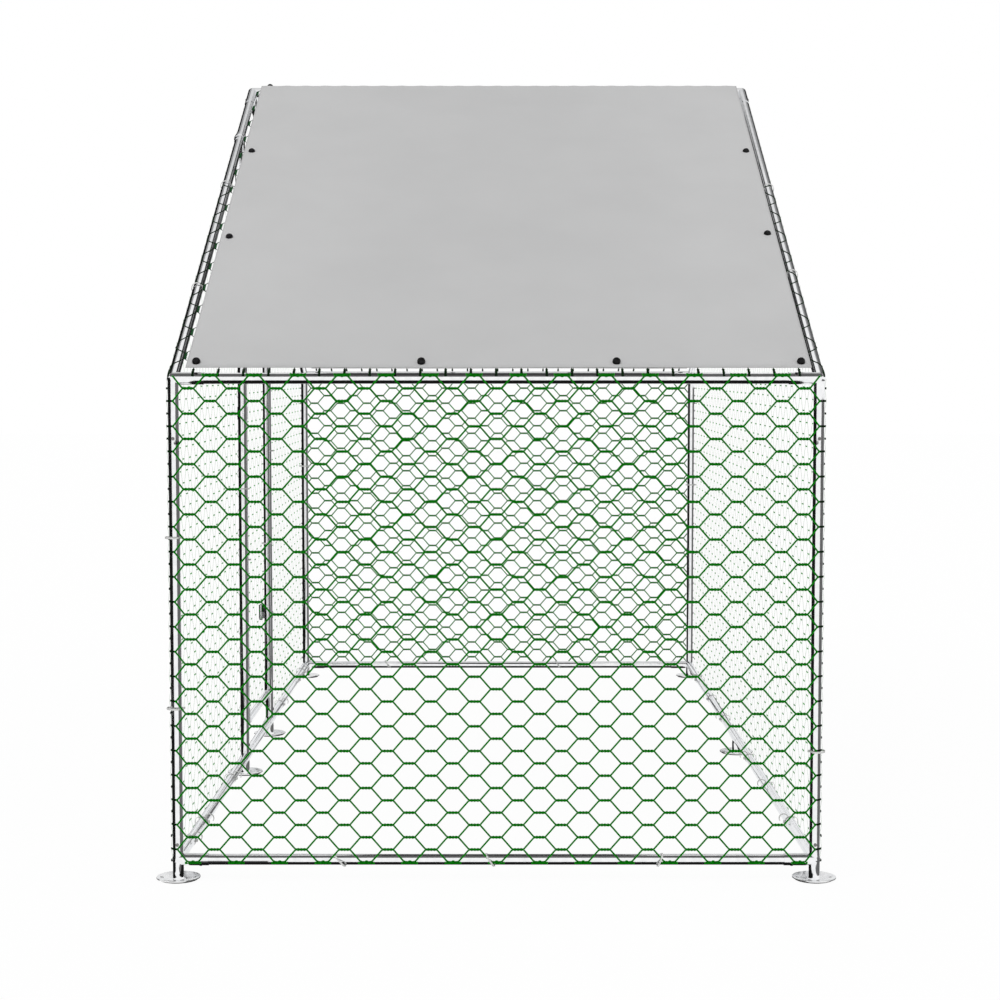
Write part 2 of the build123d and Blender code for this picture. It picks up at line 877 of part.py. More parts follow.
# Left gable wall, in front of the door, behind it and over it
left_plane = Plane(origin=(-half_width - net_inside, 0, 0), x_dir=(0, -1, 0), z_dir=(-1, 0, 0))
for u_side in (-1, 1):
    edges = [u_side * door_post_y, u_side * net_side]
    near, far = sorted(edges)
    side_outline = [
        (near, net_bottom),
        (far, net_bottom),
        (far, gable_top(far)),
        (near, gable_top(near)),
    ]
    save(make_net(side_outline, left_plane), f"left_{front_or_rear(-u_side)}_net")

gable_reach = door_post_y - net_seam
gable_outline = [
    (-gable_reach, header_height),
    (gable_reach, header_height),
    (gable_reach, gable_top(gable_reach)),
    (0, gable_top(0)),
    (-gable_reach, gable_top(gable_reach)),
]
save(make_net(gable_outline, left_plane), "left_gable_net")

# Roof, with the twists running up the slopes
for y_side in (-1, 1):
    reach = half_width + net_wrap
    roof_outline = [(-reach, net_wrap), (reach, net_wrap), (reach, slope_length), (-reach, slope_length)]
    roof_plane = Plane(
        origin=roof_point(0, y_side, 0, net_inside),
        x_dir=(-y_side, 0, 0),
        z_dir=roof_normal(y_side),
    )
    save(make_net(roof_outline, roof_plane, upright=True), f"{front_or_rear(y_side)}_roof_net")

# Door leaf
door_plane = Plane(origin=(-half_width - leaf_net_inside, 0, 0), x_dir=(0, -1, 0), z_dir=(-1, 0, 0))
door_outline = [
    (-stile_y, leaf_bottom_height),
    (stile_y, leaf_bottom_height),
    (stile_y, leaf_top_height),
    (-stile_y, leaf_top_height),
]
save(make_net(door_outline, door_plane), "door_net")

# Roof cover: one sheet from eave to eave, rounded over the ridge
cover_reach = half_width - cover_side_inset


def cover_corner(side, step, offset):
    """A corner of the cover's section, in the plane across the ridge."""
    place = roof_point(0, side, step, offset)
    return place.Y, place.Z


with BuildPart() as roof_cover:
    with BuildSketch(Plane.YZ.offset(cover_shift - cover_reach)):
        with BuildLine():
            for offset in (cover_inside, cover_outside):
                crown = (0, ridge_height + offset)
                front_turn = cover_corner(-1, slope_length, offset)
                rear_turn = cover_corner(1, slope_length, offset)
                Line(cover_corner(-1, cover_eave_inset, offset), front_turn)
                ThreePointArc(front_turn, crown, rear_turn)
                Line(rear_turn, cover_corner(1, cover_eave_inset, offset))
            for side in (-1, 1):
                Line(
                    cover_corner(side, cover_eave_inset, cover_inside),
                    cover_corner(side, cover_eave_inset, cover_outside),
                )
        make_face()
    extrude(amount=2 * cover_reach)
save(roof_cover.part, "roof_cover")

# Ball ties: balls pulled down on the cover near its edges, most on the slopes and least behind the ridge
ball_radius = ball_diameter / 2
ball_reach = cover_reach - ball_inset
left_ball_x = cover_shift - ball_reach
right_ball_x = cover_shift + ball_reach
edge_step = cover_eave_inset + ball_inset
ball_places = []
for y_side in (-1, 1):
    for x in (left_ball_x, *front_ball_offsets, right_ball_x):
        ball_places.append((x, y_side, edge_step, eave_ball_seat_depth))
    for x, steps in ((left_ball_x, side_ball_steps[-1]), (right_ball_x, side_ball_steps[1])):
        for step in steps:
            ball_places.append((x, y_side, cover_eave_inset + step, slope_ball_seat_depth))
ball_places.append((left_ball_x, 1, slope_length - ridge_ball_drop, ridge_ball_seat_depth))

with BuildPart() as cover_balls:
    for x, y_side, step, seat_depth in ball_places:
        normal = roof_normal(y_side)
        seat = roof_point(x, y_side, step, cover_outside + ball_seat_gap)
        flat_radius = sqrt(ball_radius**2 - (ball_radius - seat_depth) ** 2)
        with BuildSketch(Plane(origin=seat, x_dir=normal, z_dir=right_way)):
            with BuildLine():
                Line((0, 0), (0, flat_radius))
                ThreePointArc(
                    (0, flat_radius),
                    (ball_radius - seat_depth, ball_radius),
                    (ball_diameter - seat_depth, 0),
                )
                Line((ball_diameter - seat_depth, 0), (0, 0))
            make_face()
        revolve(axis=Axis(origin=seat, direction=normal))
save(cover_balls.part, "cover_balls")


# Cable ties
def make_ties(places, radius):
    """Ties round tubes of one radius: a band, and a head on the side it faces."""
    inside = radius + tie_clearance
    outside = inside + tie_thickness
    with BuildPart() as ties:
        for spot, way, facing in places:
            with BuildSketch(Plane(origin=spot - way * (tie_width / 2), z_dir=way)):
                Circle(outside)
                Circle(inside, mode=Mode.SUBTRACT)
            extrude(amount=tie_width)
            head_seat = inside + tie_thickness / 2
            with BuildSketch(Plane(origin=spot + facing * head_seat, x_dir=way, z_dir=facing)):
                Rectangle(tie_width, tie_head_length)
            extrude(amount=tie_head_height)
    return ties.part


frame_tie_places = []
for (x_side, y_side), heights in post_tie_heights.items():
    for z in heights:
        spot = Vector(x_side * half_width, y_side * half_length, z)
        frame_tie_places.append((spot, up_way, right_way * -x_side))
for x_side in (-1, 1):
    inward_x = right_way * -x_side
    for y_side in (-1, 1):
        for step in rafter_tie_steps[x_side]:
            spot = roof_point(x_side * half_width, y_side, step, 0)
            frame_tie_places.append((spot, slope_way(y_side), inward_x))
        for y in side_rail_tie_offsets[x_side]:
            spot = Vector(x_side * half_width, y_side * y, bottom_rail_height)
            frame_tie_places.append((spot, rear_way, inward_x))
for y_side in (-1, 1):
    for x in end_rail_tie_offsets[y_side]:
        spot = Vector(x, y_side * half_length, bottom_rail_height)
        frame_tie_places.append((spot, right_way, rear_way * -y_side))
    for z in door_post_tie_heights[y_side]:
        spot = Vector(-half_width, y_side * door_post_y, z)
        frame_tie_places.append((spot, up_way, right_way))
save(make_ties(frame_tie_places, tube_radius), "frame_cable_ties")

door_tie_places = [
    (Vector(-half_width, y_side * stile_y, z), up_way, right_way)
    for y_side in (-1, 1)
    for z in leaf_tie_heights
]
save(make_ties(door_tie_places, leaf_radius), "door_cable_ties")
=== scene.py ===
"""Looks of the walk-in poultry run: wire netting, roof cover, cable ties, materials, light and camera.

Metres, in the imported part's frame. X runs across the width, Y along the length and Z up. The netting hooks
onto the corner posts and the rafters, and bends over the ridge and round the eave rails.
"""
import json
import math
from collections import namedtuple

import bpy
import numpy as np
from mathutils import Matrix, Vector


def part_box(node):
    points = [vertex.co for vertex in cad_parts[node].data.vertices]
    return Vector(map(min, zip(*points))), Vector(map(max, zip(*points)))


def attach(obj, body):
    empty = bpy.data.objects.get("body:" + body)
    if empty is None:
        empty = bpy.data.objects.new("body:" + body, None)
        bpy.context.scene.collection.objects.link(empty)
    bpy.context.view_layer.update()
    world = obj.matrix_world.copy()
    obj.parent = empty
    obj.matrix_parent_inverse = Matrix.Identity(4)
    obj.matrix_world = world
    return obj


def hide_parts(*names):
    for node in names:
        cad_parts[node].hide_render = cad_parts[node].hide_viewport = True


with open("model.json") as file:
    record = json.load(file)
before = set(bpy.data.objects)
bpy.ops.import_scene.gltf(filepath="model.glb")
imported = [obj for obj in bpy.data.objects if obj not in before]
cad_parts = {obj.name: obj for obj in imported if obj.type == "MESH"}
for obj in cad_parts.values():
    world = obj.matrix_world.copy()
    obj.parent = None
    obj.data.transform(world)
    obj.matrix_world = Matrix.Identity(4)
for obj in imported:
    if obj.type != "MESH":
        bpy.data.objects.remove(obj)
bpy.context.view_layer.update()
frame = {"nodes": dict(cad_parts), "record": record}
packed = frame["nodes"]
slots = {part["node"]: part["material_slot"] for part in frame["record"]["subparts"]}


def middle(node, axis):
    """The middle of a node's box along one axis."""
    low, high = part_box(node)
    return (low[axis] + high[axis]) / 2


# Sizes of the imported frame: places of the tube centre lines, and radii
half_width = 0.730
half_length = 1.500
eave_height = 1.150
ridge_height = 1.995
door_post_y = 0.305
stile_y = 0.2695
bottom_rail_height = 0.048
tube_radius = 0.0125
sleeve_radius = 0.0140
leaf_tube_radius = 0.010
header_height = middle("door_header_rail", 2)
leaf_bottom, leaf_top = (corner[2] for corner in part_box("door_net"))
roof_pitch = math.atan2(ridge_height - eave_height, half_length)
slope_length = math.hypot(ridge_height - eave_height, half_length)

# Netting: its distance from the tube centre lines, its wire and its pattern
net_offset = -middle("front_net", 1) - half_length
leaf_net_offset = -middle("door_net", 0) - half_width
end_net_lift = 0.0012
wire_sides = 5
twist_length = 0.028
half_row = 0.02845
bottom_row_height = 0.0464
wall_levels = 39
front_column_count = 29
front_column_reach = 0.694
side_column_count = 62
corner_column_shift = 0.0023
rafter_lap = -0.002
post_wrap_angle = 1.2

# Limits: the shortest wire and step that are kept, a distance past all netting, and the faces of one piece
shortest_run = 0.012
shortest_step = 1e-5
past_net = 3.0
most_faces = 185_000

# Wires: their radius in a twist and between twists, how far a strand winds from the twist's middle,
# and the turns and steps of a twist
Wire = namedtuple("Wire", "strand plain reach turns steps")
end_wire = Wire(strand=0.0020, plain=0.0021, reach=0.0018, turns=2, steps=14)
side_wire = Wire(strand=0.0010, plain=0.0010, reach=0.0009, turns=2, steps=10)
roof_wire = Wire(strand=0.0009, plain=0.0009, reach=0.0009, turns=2, steps=10)
hook_wire = Wire(strand=0.0014, plain=0.0014, reach=0.0, turns=0, steps=4)
open_wire = Wire(strand=0.0016, plain=0.0016, reach=0.0013, turns=2, steps=10)
lashing_wire = Wire(strand=0.0011, plain=0.0011, reach=0.0011, turns=2, steps=10)
side_wire_flatness = 0.10

# Flat maps of the wires: each side strip within its wire's row, and the place of the ends
strip_start = 0.1
strip_width = 0.8
cap_place = 0.001

# Lashings that thicken the edge twists on the rails
lashing_length = 0.032
lashing_hook = 0.0022
lashing_shift = 0.0036

# Hooks round the corner posts: the angles they start and end at, in radians round the post from the wall's
# outward way, first for those that go on from a corner twist
post_hook_angles = ((-0.20, 1.25), (1.15, 1.95))
post_hook_points = 9
post_hook_spread = 0.0011

# Roof netting: columns along the slope and levels across it
roof_column_count = 61
roof_first_column = 0.0185
roof_level_base = -0.684
roof_half_row = 0.0285
roof_levels = (-1, 49)
rafter_hook_end = 1.03
rafter_hook_spacing = 0.003
rafter_sleeve_end = 0.075
open_twist_x = -0.7093
eave_bar_start = -0.012
eave_bar_end = 0.034
eave_bar_radius = 0.0026

# Roof cover: its place, its ripples (in radians per metre across and up the slope) and its ridge bumps
cover_reach = 0.708
cover_shift = 0.0055
cover_inset = 0.014
cover_thickness = 0.001
cover_gap = 0.0005
cover_columns = 241
slope_rows = 60
ridge_rows = 16
ridge_zone = 0.030
cover_ripple = 0.0003
first_ripple = (9, 4)
second_ripple = (5, 11)
ridge_bump = 0.0012
ridge_bump_across = 0.006
ridge_bump_along = 0.014
ridge_bump_pitch = 2 * roof_half_row

# Cable ties: a tie lies over the netting up to the first angle of its wrap, and is back on the tube at the
# second, both in radians. Tails end in arcs, between angles in degrees.
Tail = namedtuple("Tail", "radius start end points")
tie_width = 0.0040
tie_thickness = 0.0011
tie_tail_thickness = 0.0022
tie_clearance = 0.0001
tie_head_length = 0.0070
tie_head_width = 0.0048
tie_head_height = 0.0044
tie_head_steps = (-0.5, -0.38, 0.38, 0.5)
tie_head_bevel = (0.78, 1.0, 1.0, 0.78)
tie_steps = 48
tie_wrap = (0.45, 1.30)
corner_tie_wrap = (1.05, 1.75)
plain_tail = Tail(radius=0.007, start=200, end=95, points=10)
plain_tail_rise = 0.004
curled_tail = Tail(radius=0.011, start=165, end=-35, points=20)
curled_tail_out = 0.0165
curled_tail_along = 0.009
tail_width_share = 0.9
rafter_tie_gap = 0.003

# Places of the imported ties: -1 is the left or front side, 1 the right or rear side
post_tie_heights = {(-1, -1): (0.398, 0.789), (1, -1): (0.299,), (-1, 1): (0.805,), (1, 1): (0.734,)}
rafter_tie_steps = {-1: (0.443, 1.047), 1: (0.514, 1.027)}
end_rail_tie_offsets = {-1: (-0.358, -0.014, 0.375), 1: (-0.417, 0.230)}
end_rail_tie_slants = (0.9, 0.7, -0.4)
side_rail_tie_offsets = {-1: (0.603, 1.125, 1.319), 1: (0.320, 0.711, 1.124)}
door_post_tie_heights = {-1: (0.828, 1.380), 1: (0.912, 1.380)}
leaf_tie_heights = (0.620, 1.240)

# Rolled lips on the rafter collars: steps along the rafter from the collar's middle, and radii
lip_sides = 40
lip_profile = (
    (-0.006, 0.01415), (-0.006, 0.0155), (-0.0045, 0.0163), (0.0, 0.0165),
    (0.0045, 0.0163), (0.006, 0.0155), (0.006, 0.01415),
)

x_way = np.array([1.0, 0.0, 0.0])
y_way = np.array([0.0, 1.0, 0.0])
z_way = np.array([0.0, 0.0, 1.0])


# Shared mesh work
def unit(vectors):
    """Vectors scaled to length 1, row by row."""
    return vectors / np.linalg.norm(vectors, axis=-1, keepdims=True)


def slope_way(side):
    """The way up the front (-1) or rear (1) roof slope."""
    return np.array([0.0, -side * math.cos(roof_pitch), math.sin(roof_pitch)])


def roof_normal(side):
    """The way out of the front (-1) or rear (1) roof slope."""
    return np.array([0.0, side * math.sin(roof_pitch), math.cos(roof_pitch)])


def rectangle(left, right, low, high):
    """The corners of an outline with four sides, anticlockwise."""
    return [(left, low), (right, low), (right, high), (left, high)]


def new_object(name, mesh, body):
    """A piece made of a finished mesh, which rides on a body."""
    piece = bpy.data.objects.new(name, mesh)
    bpy.context.scene.collection.objects.link(piece)
    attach(piece, body)
    return piece


def mesh_of(name, vertices, quads, caps=(), places=None, smooth=True):
    """A mesh from arrays of corners and faces, with an optional flat map of the quads' corners."""
    mesh = bpy.data.meshes.new(name)
    loops = np.concatenate([quads.ravel(), *[np.asarray(cap) for cap in caps]]).astype(np.int32)
    sizes = np.concatenate([np.full(len(quads), 4), [len(cap) for cap in caps]]).astype(np.int32)
    starts = np.concatenate([[0], np.cumsum(sizes)[:-1]]).astype(np.int32)
    mesh.vertices.add(len(vertices))
    mesh.vertices.foreach_set("co", vertices.astype(np.float32).ravel())
    mesh.loops.add(len(loops))
    mesh.loops.foreach_set("vertex_index", loops)
    mesh.polygons.add(len(starts))
    mesh.polygons.foreach_set("loop_start", starts)
    mesh.polygons.foreach_set("use_smooth", np.full(len(starts), smooth))
    if places is not None:
        flat_map = mesh.uv_layers.new(name="OFBake")
        cap_corners = len(loops) - len(places)
        every_place = np.concatenate([places, np.full((cap_corners, 2), cap_place)])
        flat_map.data.foreach_set("uv", every_place.astype(np.float32).ravel())
    mesh.update(calc_edges=True)
    mesh.validate()
    return mesh


# Wire netting: round wires, and the hexagon pattern they are twisted into
def wire_mesh(name, runs, flatness):
    """One mesh of wires. A run has points and, at each, the way out of the netting and the radius.

    The flatness is the wire's thickness out of the netting as a share of its width: 1 is round wire.
    """
    corners, quads, caps, places = [], [], [], []
    first = 0
    turn = np.arange(wire_sides) / wire_sides * 2 * math.pi
    side_now = np.arange(wire_sides)
    side_next = (side_now + 1) % wire_sides
    for row, (points, outward, radius) in enumerate(runs):
        along = unit(np.gradient(points, axis=0))
        out = unit(outward - (outward * along).sum(1, keepdims=True) * along)
        across = np.cross(along, out)
        ring = flatness * np.cos(turn)[:, None] * out[:, None] + np.sin(turn)[:, None] * across[:, None]
        corners.append((points[:, None] + radius[:, None, None] * ring).reshape(-1, 3))
        rings = len(points)
        here = first + np.arange(rings - 1)[:, None] * wire_sides
        quads.append(
            np.stack([here + side_now, here + side_next, here + wire_sides + side_next,
                      here + wire_sides + side_now], axis=2).reshape(-1, 4)
        )
        caps.append(first + side_now[::-1])
        caps.append(first + (rings - 1) * wire_sides + side_now)
        length = np.concatenate([[0], np.cumsum(np.linalg.norm(np.diff(points, axis=0), axis=1))])
        u = length / length[-1]
        low_v = (row + strip_start + strip_width * side_now / wire_sides) / len(runs)
        high_v = (row + strip_start + strip_width * (side_now + 1) / wire_sides) / len(runs)
        grid = np.zeros((rings - 1, wire_sides, 4, 2))
        quad_places = ((u[:-1], low_v), (u[:-1], high_v), (u[1:], high_v), (u[1:], low_v))
        for corner, (corner_u, corner_v) in enumerate(quad_places):
            grid[:, :, corner, 0] = corner_u[:, None]
            grid[:, :, corner, 1] = corner_v[None]
        places.append(grid.reshape(-1, 2))
        first += rings * wire_sides
    return mesh_of(name, np.concatenate(corners), np.concatenate(quads), caps, np.concatenate(places))


def twist_points(wire, place, level_place, start_angle, length):
    """One strand of a twist: places along the netting, across it and out of it, and its radius.

    The radius is the strand's in the twist, and the plain wire's at its two ends.
    """
    share = np.linspace(0, 1, wire.steps + 1)
    angle = start_angle + share * wire.turns * 2 * math.pi
    radius = np.full_like(share, wire.strand)
    radius[[0, -1]] = wire.plain
    return np.stack(
        [
            place + (share - 0.5) * length,
            level_place + wire.reach * np.sin(angle),
            wire.reach * np.cos(angle),
            radius,
        ],
        axis=1,
    )


def pattern_wires(wire, columns, levels, level_base, level_pitch, parity, stretched=None):
    """Zigzag wires, each between two levels and wound round a neighbour at every column.

    A stretched column gives its own twist length and the place of its middle.
    """
    stretched = stretched or {}
    wires = []
    for row in range(*levels):
        strands = []
        for index, place in enumerate(columns):
            upper = (row + index + parity) % 2 == 0
            level = row if upper else row + 1
            angle = math.pi / 2 if upper else -math.pi / 2
            length, centre = stretched.get(index, (twist_length, place))
            height = level_base + level * level_pitch
            strands.append(twist_points(wire, centre, height, angle, length))
        wires.append(np.concatenate(strands))
    return wires


def edge_lashings(wire, columns, level, parity, shift):
    """Thick bars at a wall's edge: a second strand in each edge twist, and a pair beside it."""
    edge = bottom_row_height + level * half_row
    hook_in = np.array([-lashing_hook, 0, -lashing_hook, 0])
    hook_out = np.array([lashing_hook, 0, -lashing_hook, 0])
    bars = []
    for index, place in enumerate(columns):
        if (level + index + parity) % 2:
            continue
        for height, angle in (
            (edge, math.copysign(math.pi / 2, shift)),
            (edge + shift, math.pi / 2),
            (edge + shift, -math.pi / 2),
        ):
            bar = twist_points(wire, place, height, angle, lashing_length)
            bars.append(np.concatenate([[bar[0] + hook_in], bar, [bar[-1] + hook_out]]))
    return bars


def clipped(wires, outline):
    """The stretches of wires that lie inside a convex outline, which runs anticlockwise."""
    outline = np.asarray(outline)
    edge_ways = np.roll(outline, -1, axis=0) - outline
    inward = unit(np.stack([-edge_ways[:, 1], edge_ways[:, 0]], axis=1))
    kept = []
    for wire in wires:
        depth = ((wire[:, None, :2] - outline[None]) * inward[None]).sum(2).min(1)
        inside = depth >= 0
        changes = np.flatnonzero(np.diff(inside.astype(int)))
        bounds = [0, *(changes + 1), len(wire)]
        for start, end in zip(bounds[:-1], bounds[1:]):
            if not inside[start]:
                continue
            stretch = [wire[start:end]]
            if start > 0:
                share = depth[start] / (depth[start] - depth[start - 1])
                stretch.insert(0, (wire[start] + share * (wire[start - 1] - wire[start]))[None])
            if end < len(wire):
                share = depth[end - 1] / (depth[end - 1] - depth[end])
                stretch.append((wire[end - 1] + share * (wire[end] - wire[end - 1]))[None])
            stretch = np.concatenate(stretch)
            gaps = np.linalg.norm(np.diff(stretch, axis=0), axis=1)
            stretch = stretch[np.concatenate([[True], gaps > shortest_step])]
            if len(stretch) > 2 and np.linalg.norm(np.diff(stretch, axis=0), axis=1).sum() > shortest_run:
                kept.append(stretch)
    return kept


def wall_place(points, origin, run_way, out_way, flat_start, flat_end, offset):
    """Wall netting in space. Past the ends of the flat part it bends round the posts there."""
    s, height, out, radius = points.T
    flat = np.clip(s, flat_start, flat_end)
    bend = (s - flat) / offset
    ways = np.sin(bend)[:, None] * run_way + np.cos(bend)[:, None] * out_way
    places = origin + flat[:, None] * run_way + (offset + out)[:, None] * ways
    return places + height[:, None] * z_way, ways, radius


def roof_place(points, side, offset):
    """Roof points in space, bent down over the rafters, round the eave rail and over the ridge."""
    step, x, out, radius = points.T
    flat_step = np.clip(step, 0, slope_length)
    flat_x = np.clip(x, -half_width, half_width)
    lean = roof_pitch - (step - flat_step) / net_offset
    bend = (x - flat_x) / net_offset
    normal = np.stack([np.zeros_like(lean), side * np.sin(lean), np.cos(lean)], axis=1)
    ways = np.cos(bend)[:, None] * normal + np.sin(bend)[:, None] * x_way
    base = np.array([0.0, side * half_length, eave_height]) + flat_step[:, None] * slope_way(side)
    base[:, 0] = flat_x
    return base + (offset + out)[:, None] * ways, ways, radius


green_pieces = []
# Netting pieces whose green is darkened as painted shade.
painted_shade_pieces = []
# Netting pieces whose green is made near black as painted deep shade.
painted_deep_shade_pieces = []


def add_net(node, runs, shelf, body="frame", flatness=1.0, label="wires"):
    """Pieces of wire netting that stand for a packed net, each of a size that other programs can open.

    The shelf is the list of pieces that get the same finish.
    """
    faces = [2 * wire_sides * len(run[0]) for run in runs]
    parts = math.ceil(sum(faces) / most_faces)
    share = sum(faces) / parts
    groups = [[] for _ in range(parts)]
    total = 0
    for run, count in zip(runs, faces):
        groups[min(int(total / share), parts - 1)].append(run)
        total += count
    for number, group in enumerate(groups, 1):
        name = f"{node}_{label}" if parts == 1 else f"{node}_{label}_{number}"
        piece = new_object(name, wire_mesh(name, group, flatness), body)
        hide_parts(node)
        piece.visible_glossy = False
        shelf.append(piece)


# Front and rear walls, whose last twists end at the corner posts and go on as hooks round them
column_pitch = 2 * front_column_reach / (front_column_count - 1)
corner_column = front_column_reach + column_pitch
front_columns = np.linspace(-corner_column, corner_column, front_column_count + 2)
end_net_offset = net_offset + end_net_lift
wall_end = half_width + end_net_offset * math.pi / 2
corner_place = corner_column - corner_column_shift
bar_end = corner_place - twist_length / 2 + end_wire.strand
wall_outline = rectangle(-bar_end, bar_end, -past_net, past_net)
corner_twists = {0: (twist_length, -corner_place), front_column_count + 1: (twist_length, corner_place)}
leg_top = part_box("front_left_leg")[1][2]
eave_sleeve_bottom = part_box("front_left_eave_corner")[0][2]


def post_hooks(parity):
    """Pairs of short wires round the corner posts at every level, longer where they go on from a twist."""
    hooks = []
    for level in range(wall_levels):
        height = bottom_row_height + level * half_row
        on_tube = leg_top < height < eave_sleeve_bottom
        seat = (tube_radius if on_tube else sleeve_radius) + hook_wire.strand
        angles = np.linspace(*post_hook_angles[(level + parity) % 2], post_hook_points)
        for x_side in (-1, 1):
            for spread in (-post_hook_spread, post_hook_spread):
                hook = np.empty((post_hook_points, 4))
                hook[:, 0] = x_side * (half_width + angles * end_net_offset)
                hook[:, 1:] = height + spread, seat - end_net_offset, hook_wire.strand
                hooks.append(hook)
    return hooks


for node, side, parity in (("front_net", -1, 1), ("rear_net", 1, 0)):
    wires = pattern_wires(
        end_wire, front_columns, (0, wall_levels), bottom_row_height, half_row, parity, corner_twists,
    )
    wires += edge_lashings(lashing_wire, front_columns[1:-1], 0, parity + 1, -lashing_shift)
    wires += edge_lashings(lashing_wire, front_columns[1:-1], wall_levels, parity + 1, lashing_shift)
    origin = side * half_length * y_way
    # The hooks round the posts are drawn in near-black green as painted deep shade.
    for label, shelf, runs in (
        ("wires", green_pieces, clipped(wires, wall_outline)), ("hooks", painted_deep_shade_pieces, post_hooks(parity)),
    ):
        add_net(node, [
            wall_place(run, origin, x_way, side * y_way, -half_width, half_width, end_net_offset)
            for run in runs
        ], shelf, label=label)

# Gable walls, in the same rows, up to the rafters and round the door posts
side_reach = half_length + wall_end - corner_column
side_columns = np.linspace(-side_reach, side_reach, side_column_count)


def gable_top(y):
    """The height of a gable wall's upper edge."""
    return ridge_height - abs(y) * math.tan(roof_pitch) + rafter_lap


side_levels = math.ceil((gable_top(0) - bottom_row_height) / half_row)
side_wires = pattern_wires(side_wire, side_columns, (0, side_levels), bottom_row_height, half_row, 1)
side_edge = edge_lashings(side_wire, side_columns[1:-1], 0, 2, -lashing_shift)
post_wrap = net_offset * post_wrap_angle
doorway = door_post_y - post_wrap
leaf_edge = stile_y + leaf_net_offset * post_wrap_angle


def gable_outline(start, end, low=-past_net):
    """The outline of gable netting between two places along the wall, up to the rafters."""
    peak = [(0, gable_top(0))] if start < 0 < end else []
    return [(start, low), (end, low), (end, gable_top(end)), *peak, (start, gable_top(start))]


over_door = gable_outline(-door_post_y, door_post_y, header_height)
walls = [
    ("right_net", 1, -half_length, half_length, side_edge, gable_outline(-half_length, half_length)),
    ("left_front_net", -1, -half_length, -door_post_y, side_edge, gable_outline(-half_length, -doorway)),
    ("left_rear_net", -1, door_post_y, half_length, side_edge, gable_outline(doorway, half_length)),
    ("left_gable_net", -1, -door_post_y, door_post_y, [], over_door),
]
for node, side, flat_start, flat_end, edge, outline in walls:
    add_net(node, [
        wall_place(wire, side * half_width * x_way, y_way, side * x_way, flat_start, flat_end, net_offset)
        for wire in clipped(side_wires + edge, outline)
    ], green_pieces, flatness=side_wire_flatness)

# Door leaf
leaf_outline = rectangle(-leaf_edge, leaf_edge, leaf_bottom, leaf_top)
add_net("door_net", [
    wall_place(wire, -half_width * x_way, y_way, -x_way, -stile_y, stile_y, leaf_net_offset)
    for wire in clipped(side_wires, leaf_outline)
], green_pieces, "door", side_wire_flatness)

# Roof slopes, which meet over the ridge and end in bars round the eave rails
ridge_step = slope_length + net_offset * roof_pitch
roof_columns = np.linspace(roof_first_column, 2 * ridge_step - roof_first_column, roof_column_count)
roof_columns = roof_columns[:roof_column_count // 2 + 2]
eave_bar = (eave_bar_end - eave_bar_start, (eave_bar_end + eave_bar_start) / 2)


def roof_wires(wire, levels, last_step):
    """Roof wires between two levels, from the eave up to a step, with thick bars below the cover."""
    wires = pattern_wires(wire, roof_columns, levels, roof_level_base, roof_half_row, 0, {0: eave_bar})
    for run in wires:
        run[run[:, 0] < cover_inset, 3] = eave_bar_radius
    return clipped(wires, rectangle(-past_net, last_step, -past_net, past_net))


first_level, last_level = roof_levels
edge_level_x = -(roof_level_base + first_level * roof_half_row)


def rafter_hook(wire):
    """A wire drawn down from the netting's edge onto the rafter, or onto the sleeve at its lower end."""
    lengths = np.concatenate([[0], np.cumsum(np.linalg.norm(np.diff(wire[:, :2], axis=0), axis=1))])
    places = np.linspace(0, lengths[-1], math.ceil(lengths[-1] / rafter_hook_spacing) + 1)
    step, x, _, radius = (np.interp(places, lengths, column) for column in wire.T)
    seat = np.where(step < rafter_sleeve_end, sleeve_radius, tube_radius) + hook_wire.strand
    share = np.clip((np.abs(x) - edge_level_x) / (half_width - edge_level_x), 0, 1)
    return np.stack([step, x, share * (seat - net_offset), radius], axis=1)


hooks = roof_wires(hook_wire, (first_level - 1, first_level), rafter_hook_end)
hooks += roof_wires(hook_wire, (last_level, last_level + 1), rafter_hook_end)
hooks = [rafter_hook(wire) for wire in hooks]
edge_places = [place for place in roof_columns[1::2] if place < slope_length - twist_length]
edge_twists = [
    twist_points(roof_wire, place, roof_level_base + level * roof_half_row, angle, twist_length)
    for level, angle in ((first_level, -math.pi / 2), (last_level, math.pi / 2))
    for place in edge_places
]
# Twists beside the left rafter: thicker, and in a green darkened as painted shade.
open_twists = [
    twist_points(open_wire, place, open_twist_x, angle, twist_length)
    for place in edge_places
    for angle in (-math.pi / 2, math.pi / 2)
]
roof_pieces = []
for node, side in (("front_roof_net", -1), ("rear_roof_net", 1)):
    wires = roof_wires(roof_wire, roof_levels, ridge_step) + hooks + edge_twists
    add_net(node, [roof_place(wire, side, net_offset) for wire in wires], roof_pieces)
    twists = [roof_place(wire, side, net_offset) for wire in open_twists]
    add_net(node, twists, painted_shade_pieces, label="open_twists")
# The roof netting is drawn in near-black green as painted deep shade.
painted_deep_shade_pieces += roof_pieces

# Roof cover: one thin sheet over both slopes, lifted a little by the netting's bars along the ridge
cover_offset = net_offset + roof_wire.reach + roof_wire.strand + cover_gap
slope_steps = np.linspace(cover_inset, ridge_step - ridge_zone, slope_rows)
ridge_steps = np.linspace(ridge_step - ridge_zone, ridge_step, ridge_rows)
cover_steps = np.concatenate([slope_steps, ridge_steps[1:]])
cover_x = cover_shift + np.linspace(-cover_reach, cover_reach, cover_columns)


